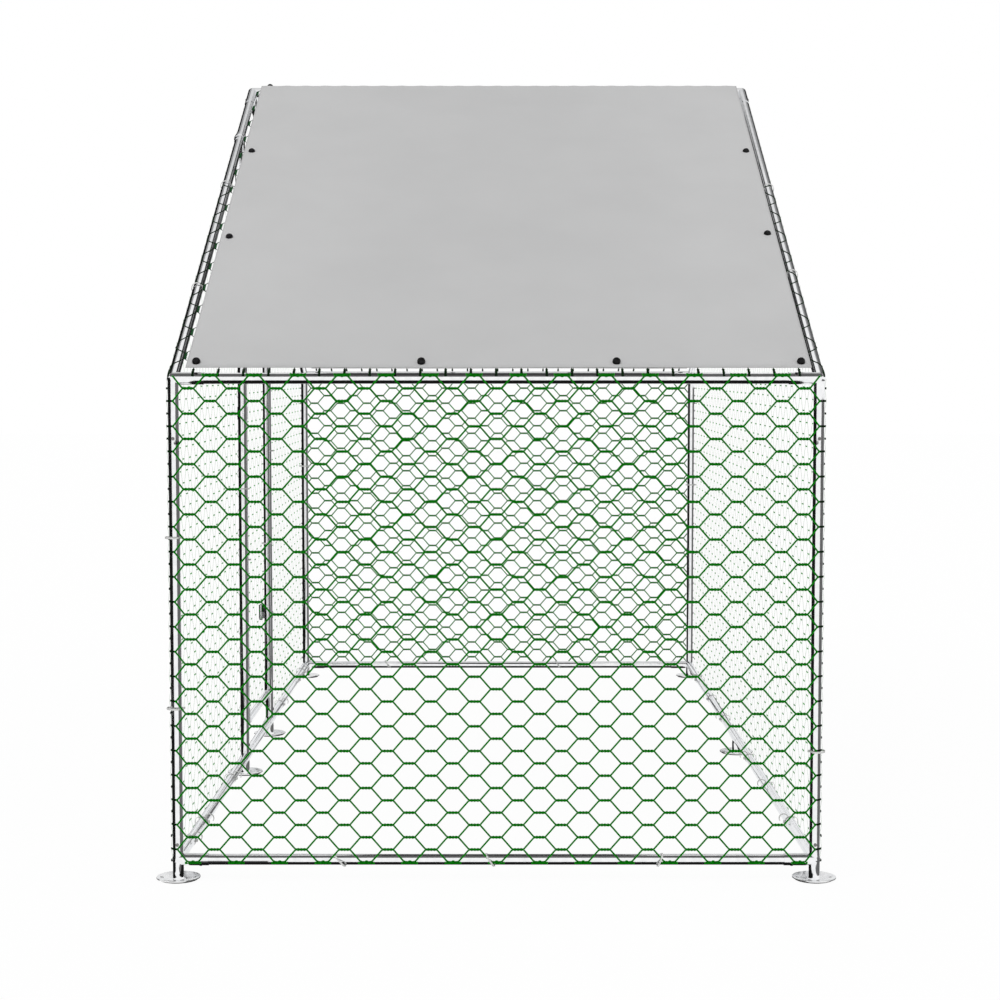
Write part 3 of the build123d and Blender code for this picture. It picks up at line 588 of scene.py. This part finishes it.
def cover_surface(side, lift):
    """A grid of cover points on one slope, from the eave to the ridge."""
    step, x = np.meshgrid(cover_steps, cover_x, indexing="ij")
    first_wave = np.sin(x * first_ripple[0] + side * step * first_ripple[1])
    second_wave = np.sin(x * second_ripple[0] - step * second_ripple[1] + side)
    ripple = cover_ripple * (2 + first_wave + second_wave)
    bar_place = (x - roof_level_base) / ridge_bump_pitch
    from_bar = (bar_place - np.round(bar_place)) * ridge_bump_pitch
    bump = ridge_bump * np.exp(-((step - ridge_step) / ridge_bump_across) ** 2)
    bump = bump * np.exp(-(from_bar / ridge_bump_along) ** 2)
    fade = np.clip((ridge_step - step) / ridge_zone, 0, 1)
    out = ripple * fade + bump + lift
    points = np.stack([step.ravel(), x.ravel(), out.ravel(), out.ravel()], axis=1)
    return roof_place(points, side, cover_offset)[0].reshape(len(cover_steps), cover_columns, 3)


def cover_mesh(name):
    """The cover's upper and lower sides, joined along its four edges."""
    sides = []
    for lift in (0, cover_thickness):
        front = cover_surface(-1, lift)
        rear = cover_surface(1, lift)[::-1]
        sides.append(np.concatenate([front, rear[1:]]))
    lower, upper = sides
    rows = len(upper)
    number = np.arange(rows * cover_columns).reshape(rows, cover_columns)
    top = np.stack([number[:-1, :-1], number[:-1, 1:], number[1:, 1:], number[1:, :-1]], axis=2)
    top = top.reshape(-1, 4)
    under = top[:, ::-1] + number.size
    rim = np.concatenate([number[0, :-1], number[:-1, -1], number[-1, :0:-1], number[:0:-1, 0]])
    rim_next = np.roll(rim, -1)
    edge = np.stack([rim_next, rim, rim + number.size, rim_next + number.size], axis=1)
    vertices = np.concatenate([upper.reshape(-1, 3), lower.reshape(-1, 3)])
    return mesh_of(name, vertices, np.concatenate([top, under, edge]))


cover = new_object("roof_cover_sheet", cover_mesh("roof_cover_sheet"), "frame")
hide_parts("roof_cover")
cover.visible_glossy = False


# Cable ties: a flat strap drawn round tube and netting, its head, and a cut tail
class StrapMaker:
    """Collects flat straps into one mesh."""

    def __init__(self):
        self.corners, self.quads, self.caps, self.count = [], [], [], 0

    def add(self, points, across, width, thickness, closed=False):
        """A strap along points. Across is the way of its width; width and thickness may vary along it."""
        points = np.asarray(points)
        if closed:
            along = unit(np.roll(points, -1, axis=0) - np.roll(points, 1, axis=0))
        else:
            along = unit(np.gradient(points, axis=0))
        across = unit(across - (along @ across)[:, None] * along)
        normal = np.cross(along, across)
        half_across = across * (np.broadcast_to(width, len(points)) / 2)[:, None]
        half_normal = normal * (np.broadcast_to(thickness, len(points)) / 2)[:, None]
        ring = np.stack([
            points + half_across + half_normal, points - half_across + half_normal,
            points - half_across - half_normal, points + half_across - half_normal,
        ], axis=1)
        here = self.count + 4 * np.arange(len(points))
        after = np.roll(here, -1)
        if not closed:
            self.caps += [here[0] + np.arange(4)[::-1], here[-1] + np.arange(4)]
            here, after = here[:-1], after[:-1]
        for corner in range(4):
            beside = (corner + 1) % 4
            quads = [here + corner, here + beside, after + beside, after + corner]
            self.quads.append(np.stack(quads, axis=1))
        self.corners.append(ring.reshape(-1, 3))
        self.count += 4 * len(points)

    def mesh(self, name):
        """The mesh of all straps so far."""
        corners, quads = np.concatenate(self.corners), np.concatenate(self.quads)
        return mesh_of(name, corners, quads, self.caps, smooth=False)


def add_tie(straps, spot, way, outward, facing, radius, reach_out, corner=False, slant=0.0, curl=None):
    """One tie round a tube at a spot: it bulges outward over the netting, and its head faces another way.

    A corner tie goes over netting on two sides. The slant moves the strap along the tube as it goes round.
    The curl is the way the tail rises before it turns over.
    """
    vectors = (spot, way, outward, facing)
    spot, way, outward, facing = (np.asarray(vector, dtype=float) for vector in vectors)
    outward = unit(outward)
    second = np.cross(way, outward)
    full, fade = corner_tie_wrap if corner else tie_wrap
    base = radius + tie_clearance + tie_thickness / 2
    bulge = reach_out + tie_thickness / 2 - base
    turn = np.arange(tie_steps) / tie_steps * 2 * math.pi
    away = np.abs(np.where(turn > math.pi, turn - 2 * math.pi, turn))
    share = np.clip((fade - away) / (fade - full), 0, 1)
    reach = base + bulge * share ** 2 * (3 - 2 * share)
    loop = spot + reach[:, None] * (np.cos(turn)[:, None] * outward + np.sin(turn)[:, None] * second)
    loop = loop + (slant * reach * np.sin(turn))[:, None] * way
    straps.add(loop, way, tie_width, tie_thickness, closed=True)

    tangent = np.cross(way, facing)
    if curl is not None and tangent @ curl < 0:
        tangent = -tangent
    head_middle = spot + facing * (base + tie_head_height / 2)
    head = head_middle + np.array(tie_head_steps)[:, None] * tie_head_length * tangent
    bevel = np.array(tie_head_bevel)
    straps.add(head, way, tie_head_width * bevel, tie_head_height * bevel)

    if curl is None:
        tail = plain_tail
        centre = head_middle + facing * plain_tail_rise
    else:
        tail = curled_tail
        centre = spot + facing * curled_tail_out + tangent * curled_tail_along
    angles = np.linspace(math.radians(tail.start), math.radians(tail.end), tail.points)
    arc = centre + tail.radius * (np.cos(angles)[:, None] * facing + np.sin(angles)[:, None] * tangent)
    straps.add(arc, way, tie_width * tail_width_share, tie_tail_thickness)


over_net = net_offset + side_wire.reach + side_wire.strand
over_corner = end_net_offset + end_wire.reach + end_wire.strand
over_leaf_net = leaf_net_offset + side_wire.reach + side_wire.strand
over_rafter = tube_radius + rafter_tie_gap
frame_straps = StrapMaker()
for (x_side, y_side), heights in post_tie_heights.items():
    for z in heights:
        spot = (x_side * half_width, y_side * half_length, z)
        outward = x_side * x_way + y_side * y_way
        add_tie(frame_straps, spot, z_way, outward, -x_side * x_way, tube_radius, over_corner, corner=True)
for x_side in (-1, 1):
    inward = -x_side * x_way
    for y_side in (-1, 1):
        slope, normal = slope_way(y_side), roof_normal(y_side)
        eave = np.array([x_side * half_width, y_side * half_length, eave_height])
        for step in rafter_tie_steps[x_side]:
            add_tie(frame_straps, eave + step * slope, slope, x_side * x_way + normal, inward,
                    tube_radius, over_rafter, corner=True)
        for y in side_rail_tie_offsets[x_side]:
            spot = (x_side * half_width, y_side * y, bottom_rail_height)
            add_tie(frame_straps, spot, y_way, -inward, inward, tube_radius, over_net, curl=z_way)
for y_side in (-1, 1):
    for index, x in enumerate(end_rail_tie_offsets[y_side]):
        spot = (x, y_side * half_length, bottom_rail_height)
        slant = end_rail_tie_slants[index]
        add_tie(frame_straps, spot, x_way, y_side * y_way, -y_side * y_way, tube_radius, over_corner,
                slant=-y_side * slant)
    for z in door_post_tie_heights[y_side]:
        spot = (-half_width, y_side * door_post_y, z)
        add_tie(frame_straps, spot, z_way, -x_way, x_way, tube_radius, over_net)
door_straps = StrapMaker()
for y_side in (-1, 1):
    for z in leaf_tie_heights:
        spot = (-half_width, y_side * stile_y, z)
        add_tie(door_straps, spot, z_way, -x_way, x_way, leaf_tube_radius, over_leaf_net)
tie_pieces = []
for node, straps, body in (
    ("frame_cable_ties", frame_straps, "frame"), ("door_cable_ties", door_straps, "door"),
):
    piece = new_object(f"{node}_straps", straps.mesh(f"{node}_straps"), body)
    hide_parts(node)
    tie_pieces.append(piece)


# Rolled lips on the collars that hold the door posts to the left rafters
def lip_mesh(name):
    """Closed rings round the two left rafters, which follow the lip's profile."""
    corners, quads = [], []
    turn = np.arange(lip_sides) / lip_sides * 2 * math.pi
    side_now = np.arange(lip_sides)
    side_next = (side_now + 1) % lip_sides
    for y_side in (-1, 1):
        slope, normal = slope_way(y_side), roof_normal(y_side)
        rafter_height = ridge_height - door_post_y * math.tan(roof_pitch)
        hub = np.array([-half_width, y_side * door_post_y, rafter_height])
        round_ways = np.cos(turn)[:, None] * normal + np.sin(turn)[:, None] * y_side * x_way
        first = len(corners) * lip_sides
        for step, radius in lip_profile:
            corners.append(hub + step * slope + radius * round_ways)
        for row in range(len(lip_profile)):
            here = first + row * lip_sides
            after = first + (row + 1) % len(lip_profile) * lip_sides
            band = [here + side_now, here + side_next, after + side_next, after + side_now]
            quads.append(np.stack(band, axis=1))
    return mesh_of(name, np.concatenate(corners), np.concatenate(quads), smooth=False)


lips = new_object("door_post_collar_lips", lip_mesh("door_post_collar_lips"), "frame")


# Materials, all worked out in the object's own coordinates
def set_socket(node, name, value):
    """Link an output to a node's socket, or set its value."""
    if isinstance(value, bpy.types.NodeSocket):
        node.id_data.links.new(value, node.inputs[name])
    else:
        node.inputs[name].default_value = value


def surface(name, **settings):
    """A new material with one principled shader. Returns the material, its nodes and the shader."""
    material = bpy.data.materials.new(name)
    material.use_nodes = True
    tree = material.node_tree
    shader = tree.nodes["Principled BSDF"]
    for socket, value in settings.items():
        set_socket(shader, socket.replace("_", " "), value)
    return material, tree.nodes, shader


def noise(nodes, scale, detail=3.0):
    """A noise pattern of a size given in repeats per metre."""
    place = nodes.new("ShaderNodeTexCoord")
    pattern = nodes.new("ShaderNodeTexNoise")
    pattern.inputs["Scale"].default_value = scale
    pattern.inputs["Detail"].default_value = detail
    set_socket(pattern, "Vector", place.outputs["Object"])
    return pattern.outputs["Fac"]


def shades(nodes, factor, dark, light, low=0.35, high=0.65):
    """A pattern's low to high values turned into colours from dark to light."""
    ramp = nodes.new("ShaderNodeValToRGB")
    ramp.color_ramp.elements[0].position = low
    ramp.color_ramp.elements[1].position = high
    ramp.color_ramp.elements[0].color = (*dark, 1)
    ramp.color_ramp.elements[1].color = (*light, 1)
    set_socket(ramp, "Fac", factor)
    return ramp.outputs["Color"]


def between(nodes, factor, low, high):
    """A pattern turned into numbers from low to high."""
    spread = nodes.new("ShaderNodeMapRange")
    spread.inputs["From Min"].default_value = 0.3
    spread.inputs["From Max"].default_value = 0.7
    spread.inputs["To Min"].default_value = low
    spread.inputs["To Max"].default_value = high
    set_socket(spread, "Value", factor)
    return spread.outputs["Result"]


def bumped(nodes, shader, height, strength, distance):
    """Fine relief on a shader."""
    bump = nodes.new("ShaderNodeBump")
    bump.inputs["Strength"].default_value = strength
    bump.inputs["Distance"].default_value = distance
    set_socket(bump, "Height", height)
    set_socket(shader, "Normal", bump.outputs["Normal"])


def metal_finish(name, dark, light, roughness, spangle, metallic=1.0):
    """Zinc-coated steel: soft spangles, uneven gloss and a faint pitted relief."""
    material, nodes, shader = surface(name, Metallic=metallic, Specular_Tint=(0.86, 0.87, 0.88, 1))
    cells = noise(nodes, spangle, detail=2.0)
    gloss = noise(nodes, spangle * 0.6, detail=4.0)
    set_socket(shader, "Base Color", shades(nodes, cells, dark, light))
    set_socket(shader, "Roughness", between(nodes, gloss, *roughness))
    bumped(nodes, shader, noise(nodes, 900, detail=2.0), strength=0.04, distance=0.0005)
    return material


galvanised = metal_finish(
    "galvanised_tube", dark=(0.86, 0.87, 0.88), light=(0.95, 0.95, 0.96), roughness=(0.07, 0.13),
    spangle=70,
)
plate_metal = metal_finish(
    "galvanised_plate", dark=(0.84, 0.84, 0.85), light=(0.91, 0.91, 0.91), roughness=(0.16, 0.26),
    spangle=45, metallic=0.85,
)
zinc = metal_finish(
    "dull_zinc", dark=(0.14, 0.14, 0.14), light=(0.26, 0.25, 0.24), roughness=(0.14, 0.24),
    spangle=220,
)


def coated(name, dark, light, shade_scale, roughness, gloss_scale, relief, **settings):
    """A coat with uneven colour and gloss, and a fine relief given by its scale, strength and distance."""
    material, nodes, shader = surface(name, **settings)
    relief_scale, strength, distance = relief
    set_socket(shader, "Base Color", shades(nodes, noise(nodes, shade_scale), dark, light))
    set_socket(shader, "Roughness", between(nodes, noise(nodes, gloss_scale), *roughness))
    bumped(nodes, shader, noise(nodes, relief_scale, detail=2.0), strength, distance)
    return material


def wire_finish(name, dark, light, sheen):
    """Green coated wire, with a green sheen at its edges."""
    return coated(
        name, dark, light, shade_scale=160, roughness=(0.26, 0.42), gloss_scale=320,
        relief=(1400, 0.12, 0.0003), Specular_IOR_Level=0.04,
        Sheen_Weight=sheen, Sheen_Roughness=0.5, Sheen_Tint=(0.0, 1.0, 0.0, 1),
    )


netting = wire_finish(
    "green_coated_wire", dark=(0.0006, 0.094, 0.0012), light=(0.0018, 0.148, 0.0030), sheen=1.0,
)
# Painted shade: the same green wire made darker, for the open twists beside the left rafter.
painted_shade_netting = wire_finish(
    "painted_shade_green_wire", dark=(0.008, 0.055, 0.018), light=(0.014, 0.085, 0.030), sheen=0.1,
)
# Painted deep shade: the same green wire made near black, for the roof netting and the hooks round the
# posts.
painted_deep_shade_netting = wire_finish(
    "painted_deep_shade_green_wire", dark=(0.0020, 0.0080, 0.0025), light=(0.0030, 0.0160, 0.0040), sheen=0.05,
)

cover_cloth, nodes, shader = surface("grey_cover_cloth", Specular_IOR_Level=0.25, Sheen_Weight=0.05)
cloth_shade = shades(nodes, noise(nodes, 5, detail=5.0), (0.522, 0.523, 0.525), (0.540, 0.541, 0.543))
set_socket(shader, "Base Color", cloth_shade)
set_socket(shader, "Roughness", between(nodes, noise(nodes, 40), 0.62, 0.76))
weave = []
for axis in ("X", "Y"):
    place = nodes.new("ShaderNodeTexCoord")
    threads = nodes.new("ShaderNodeTexWave")
    threads.bands_direction = axis
    threads.inputs["Scale"].default_value = 140
    threads.inputs["Distortion"].default_value = 0.6
    set_socket(threads, "Vector", place.outputs["Object"])
    weave.append(threads.outputs["Fac"])
woven = nodes.new("ShaderNodeMath")
woven.operation = "MULTIPLY"
set_socket(woven, 0, weave[0])
set_socket(woven, 1, weave[1])
bumped(nodes, shader, woven.outputs["Value"], strength=0.25, distance=0.0004)

black_plastic = coated(
    "black_plastic", dark=(0.006, 0.006, 0.006), light=(0.016, 0.016, 0.017), shade_scale=90,
    roughness=(0.16, 0.30), gloss_scale=240, relief=(900, 0.05, 0.0004), Specular_IOR_Level=0.12,
)
white_plastic = coated(
    "white_nylon", dark=(0.58, 0.58, 0.57), light=(0.72, 0.72, 0.71), shade_scale=140,
    roughness=(0.32, 0.46), gloss_scale=300, relief=(1200, 0.08, 0.0003), Specular_IOR_Level=0.45,
)

finishes = {
    "galvanised": galvanised, "zinc": zinc, "netting": netting,
    "cover": cover_cloth, "black_plastic": black_plastic, "white_plastic": white_plastic,
}


def dress(piece, material):
    """Give a piece one material."""
    piece.data.materials.clear()
    piece.data.materials.append(material)


for node, piece in packed.items():
    dress(piece, plate_metal if node == "foot_plates" else finishes[slots[node]])
for pieces, material in (
    (green_pieces, netting), (painted_shade_pieces, painted_shade_netting), (painted_deep_shade_pieces, painted_deep_shade_netting),
    ([cover], cover_cloth), (tie_pieces, white_plastic), ([lips], galvanised),
):
    for piece in pieces:
        dress(piece, material)

# Stage: a pale floor that fades into a white background, dark discs of painted shadow under the feet, and
# cards that show only in reflections
floor_reach = 30
floor_grey = 0.98
# Grey of the painted shadow discs under the feet
foot_shadow_grey = 0.03
foot_shadow_radius = 0.044
foot_shadow_back = 0.006
foot_shadow_height = 0.001
foot_shadow_sides = 48
floor_share = 0.96
ambient = 0.55
sun_strength = 1.10
fill_strength = 0.30


def bare_material(name):
    """A new material without a shader. Returns the material and its nodes."""
    material = bpy.data.materials.new(name)
    material.use_nodes = True
    nodes = material.node_tree.nodes
    nodes.remove(nodes["Principled BSDF"])
    return material, nodes


def seen_directly(nodes):
    """1 for rays that show the background: to the camera, in reflections and through clear things."""
    path = nodes.new("ShaderNodeLightPath")
    total = path.outputs["Is Camera Ray"]
    for ray in ("Is Glossy Ray", "Is Transmission Ray"):
        either = nodes.new("ShaderNodeMath")
        either.operation = "MAXIMUM"
        set_socket(either, 0, total)
        set_socket(either, 1, path.outputs[ray])
        total = either.outputs["Value"]
    return total


def plane(name, corners, material):
    """A flat stage piece through its corners."""
    mesh = bpy.data.meshes.new(name)
    mesh.from_pydata(corners, [], [tuple(range(len(corners)))])
    card = bpy.data.objects.new(name, mesh)
    bpy.context.scene.collection.objects.link(card)
    card.data.materials.append(material)
    return card


world = bpy.data.worlds.new("studio")
bpy.context.scene.world = world
world.use_nodes = True
backdrop = world.node_tree.nodes["Background"]
backdrop.inputs["Color"].default_value = (1, 1, 1, 1)
glow_range = world.node_tree.nodes.new("ShaderNodeMapRange")
glow_range.inputs["To Min"].default_value = ambient
glow_range.inputs["To Max"].default_value = 1.0
set_socket(glow_range, "Value", seen_directly(world.node_tree.nodes))
set_socket(backdrop, "Strength", glow_range.outputs["Result"])

pale, floor_nodes = bare_material("pale_floor")
matte = floor_nodes.new("ShaderNodeBsdfDiffuse")
matte.inputs["Color"].default_value = (floor_grey, floor_grey, floor_grey, 1)
glow = floor_nodes.new("ShaderNodeEmission")
blend = floor_nodes.new("ShaderNodeMixShader")
glow_share = floor_nodes.new("ShaderNodeMath")
glow_share.operation = "MULTIPLY"
glow_share.inputs[1].default_value = floor_share
set_socket(glow_share, 0, seen_directly(floor_nodes))
set_socket(blend, 0, glow_share.outputs["Value"])
set_socket(blend, 1, matte.outputs["BSDF"])
set_socket(blend, 2, glow.outputs["Emission"])
set_socket(floor_nodes["Material Output"], "Surface", blend.outputs["Shader"])
floor_corners = rectangle(-floor_reach, floor_reach, -floor_reach, floor_reach)
plane("floor", [(x, y, 0) for x, y in floor_corners], pale)

# Painted shadow: dark discs on the floor right under the foot plates, for the contact shadow that the glow
# of the floor would hide
foot_shadow_colour = (foot_shadow_grey, foot_shadow_grey, foot_shadow_grey, 1)
foot_shadow_material, _, _ = surface("painted_foot_shadow", Base_Color=foot_shadow_colour, Roughness=1.0)
foot_places = [(x_side * half_width, y_side * half_length) for x_side in (-1, 1) for y_side in (-1, 1)]
foot_places += [(-half_width, -door_post_y), (-half_width, door_post_y), (half_width, 0.0)]
for number, (x, y) in enumerate(foot_places, 1):
    angles = np.linspace(0, 2 * math.pi, foot_shadow_sides, endpoint=False)
    disc_x = x + foot_shadow_radius * np.cos(angles)
    disc_y = y + foot_shadow_back + foot_shadow_radius * np.sin(angles)
    disc_corners = [(*corner, foot_shadow_height) for corner in zip(disc_x, disc_y)]
    disc = plane(f"painted_shadow_under_foot_{number}", disc_corners, foot_shadow_material)
    disc.visible_glossy = False
packed["foot_plates"].visible_glossy = False


def grey_card(name, corners, grey):
    """A flat grey card that shows only in reflections, and only from its front."""
    material, nodes = bare_material(name)
    glow = nodes.new("ShaderNodeEmission")
    glow.inputs["Color"].default_value = (grey, grey, grey, 1)
    clear = nodes.new("ShaderNodeBsdfTransparent")
    facing = nodes.new("ShaderNodeNewGeometry")
    blend = nodes.new("ShaderNodeMixShader")
    set_socket(blend, 0, facing.outputs["Backfacing"])
    set_socket(blend, 1, glow.outputs["Emission"])
    set_socket(blend, 2, clear.outputs["BSDF"])
    set_socket(nodes["Material Output"], "Surface", blend.outputs["Shader"])
    flag = plane(name, corners, material)
    flag.visible_camera = False
    flag.visible_diffuse = False
    flag.visible_transmission = False
    flag.visible_shadow = False


def upright_card(name, x, front, rear, low, high, facing, grey):
    """A card along the length that faces left (-1) or right (1)."""
    corners = [(x, y, z) for y, z in rectangle(front, rear, low, high)]
    grey_card(name, corners[::facing], grey)


def level_card(name, left, right, front, rear, height, grey, facing=1):
    """A card that lies level and faces up (1) or down (-1)."""
    corners = [(x, y, height) for x, y in rectangle(left, right, front, rear)]
    grey_card(name, corners[::facing], grey)


def slope_card(name, left, right, start, end, height, grey):
    """A card over the front roof slope that faces down to it, between two steps up from the eave."""
    eave = np.array([0.0, -half_length, eave_height]) + height * roof_normal(-1)
    corners = rectangle(left, right, end, start)
    grey_card(name, [tuple(eave + x * x_way + step * slope_way(-1)) for x, step in corners], grey)


# Cards beside the posts and legs, a fixed way from the tube's middle, and low on the floor by the legs
dark = 0.010
shade = 0.14
beside = 0.20
inner_card_front = 0.145
card_foot = 0.005
left_post_card_top = 1.8
right_post_card_top = 1.1
leg_card_top = 0.05
leg_card_height = 0.0045
leg_card_rear = 0.15
for number, y in enumerate((-half_length, -door_post_y, door_post_y, half_length), 1):
    upright_card(
        f"left_post_card_{number}", x=-half_width + beside, front=y - beside, rear=y + beside,
        low=card_foot, high=left_post_card_top, facing=-1, grey=shade,
    )
right_cards = [
    (f"right_post_card_{number}", f"right_post_inner_card_{number}", y, right_post_card_top)
    for number, y in enumerate((-half_length, half_length), 1)
]
right_cards.append(("middle_leg_card", "middle_leg_inner_card", 0.0, leg_card_top))
for outer_name, inner_name, y, top in right_cards:
    upright_card(
        outer_name, x=half_width + beside, front=y - beside, rear=y + beside,
        low=card_foot, high=top, facing=-1, grey=shade,
    )
    upright_card(
        inner_name, x=half_width - beside, front=y - inner_card_front, rear=y + beside,
        low=card_foot, high=top, facing=1, grey=dark,
    )
for number, (x, y) in enumerate(foot_places, 1):
    level_card(
        f"left_of_leg_{number}", left=x - beside, right=x - tube_radius,
        front=y - 0.03, rear=y + leg_card_rear, height=leg_card_height, grey=dark,
    )
    level_card(
        f"right_of_leg_{number}", left=x + 0.035, right=x + beside,
        front=y - 0.12, rear=y + leg_card_rear, height=leg_card_height, grey=shade,
    )

# Cards under the end rails and the front eave, and an upright one under the ridge
rail_card_reach = 0.71
rail_card_width = 0.15
for name, front in (("front_rail_card", -1.55), ("rear_rail_card", 1.45)):
    level_card(
        name, left=-rail_card_reach, right=rail_card_reach, front=front, rear=front + rail_card_width,
        height=card_foot, grey=dark,
    )
level_card("front_eave_card", left=-0.715, right=0.715, front=-1.68, rear=-1.30, height=1.0, grey=dark)
under_roof_corners = [(x, 0.02, z) for x, z in rectangle(-0.7, 0.7, 1.16, 1.96)]
grey_card("under_roof_card", under_roof_corners, 0.03)

# Far cards on the left side, and on the floor up to it
far_left = -3.0
far_front = -3.7
far_rear = 6.0
left_floor_front = -1.4
left_floor_height = 0.004
upright_card("left_card", far_left, far_front, far_rear, low=0.01, high=1.6, facing=1, grey=dark)
left_front_outline = [
    (far_left, far_front), (-0.79, -1.56), (-0.79, left_floor_front), (far_left, left_floor_front),
]
grey_card("left_front_floor", [(x, y, left_floor_height) for x, y in left_front_outline], dark)
level_card("left_floor", far_left, -0.95, left_floor_front, far_rear, left_floor_height, dark)

# Far cards above: walls at the sides, and ceilings in front of the ridge and behind it
upper_x = 3.3
upper_low = 1.6
upper_high = 8.0
upper_front = 0.3
upper_middle = 5.0
upper_rear = 10.0
ceiling_reach = 1.8
ceiling_rear = 7.0
ceiling_height = 6.0
upright_card("left_upper_card", -upper_x, upper_front, upper_rear, upper_low, upper_high, 1, dark)
upright_card("right_upper_card", upper_x, upper_front, upper_middle, upper_low, upper_high, -1, shade)
upright_card("right_upper_rear_card", upper_x, upper_middle, upper_rear, upper_low, upper_high, -1, dark)
level_card("upper_card", left=-5, right=5, front=-6, rear=-0.3, height=4.2, grey=0.12, facing=-1)
for name, left, right, grey in (
    ("upper_rear_card", -ceiling_reach, ceiling_reach, 0.62),
    ("upper_rear_left_card", -upper_x, -ceiling_reach, 0.35),
    ("upper_rear_right_card", ceiling_reach, upper_x, 0.35),
):
    level_card(name, left, right, upper_front, ceiling_rear, ceiling_height, grey, facing=-1)

# Cards over the front roof slope: pale ones over the rafters, in steps up the slope, and a dark one between
above_roof = 0.32
card_outer = half_width + 0.17
card_inner = half_width - 0.26
roof_card_end = 2.65
rafter_card_steps = ((0.40, 1.20, 0.95), (1.20, 1.80, 0.85), (1.80, roof_card_end, 0.72))
for side_name, edges in (("left", (-card_outer, -card_inner)), ("right", (card_inner, card_outer))):
    for number, (start, end, grey) in enumerate(rafter_card_steps, 1):
        slope_card(f"{side_name}_rafter_card_{number}", *edges, start, end, above_roof, grey)
slope_card("roof_shade_card", -card_inner, card_inner, 0.0, roof_card_end, above_roof, 0.05)


def sun(name, strength, angle, tilt, turn):
    """A wide soft lamp far away, tilted from overhead and turned about the vertical."""
    lamp = bpy.data.lights.new(name, "SUN")
    lamp.energy = strength
    lamp.angle = math.radians(angle)
    holder = bpy.data.objects.new(name, lamp)
    holder.rotation_euler = (math.radians(tilt), 0, math.radians(turn))
    holder.visible_glossy = False
    bpy.context.scene.collection.objects.link(holder)


sun("key", sun_strength, angle=60, tilt=35, turn=-25)
sun("fill", fill_strength, angle=90, tilt=50, turn=40)

# Camera, at the photograph's viewing point and looking a little down
camera_place = (0.0086, -5.9759, 1.1708)
camera_dip = 3.787
lens = bpy.data.cameras.new("camera")
lens.sensor_width = 36
lens.lens = 71.18
lens.clip_end = 200
camera = bpy.data.objects.new("camera", lens)
camera.location = camera_place
camera.rotation_euler = (math.radians(90 - camera_dip), 0, 0)
bpy.context.scene.collection.objects.link(camera)
bpy.context.scene.camera = camera
bpy.context.scene.view_settings.view_transform = "Standard"
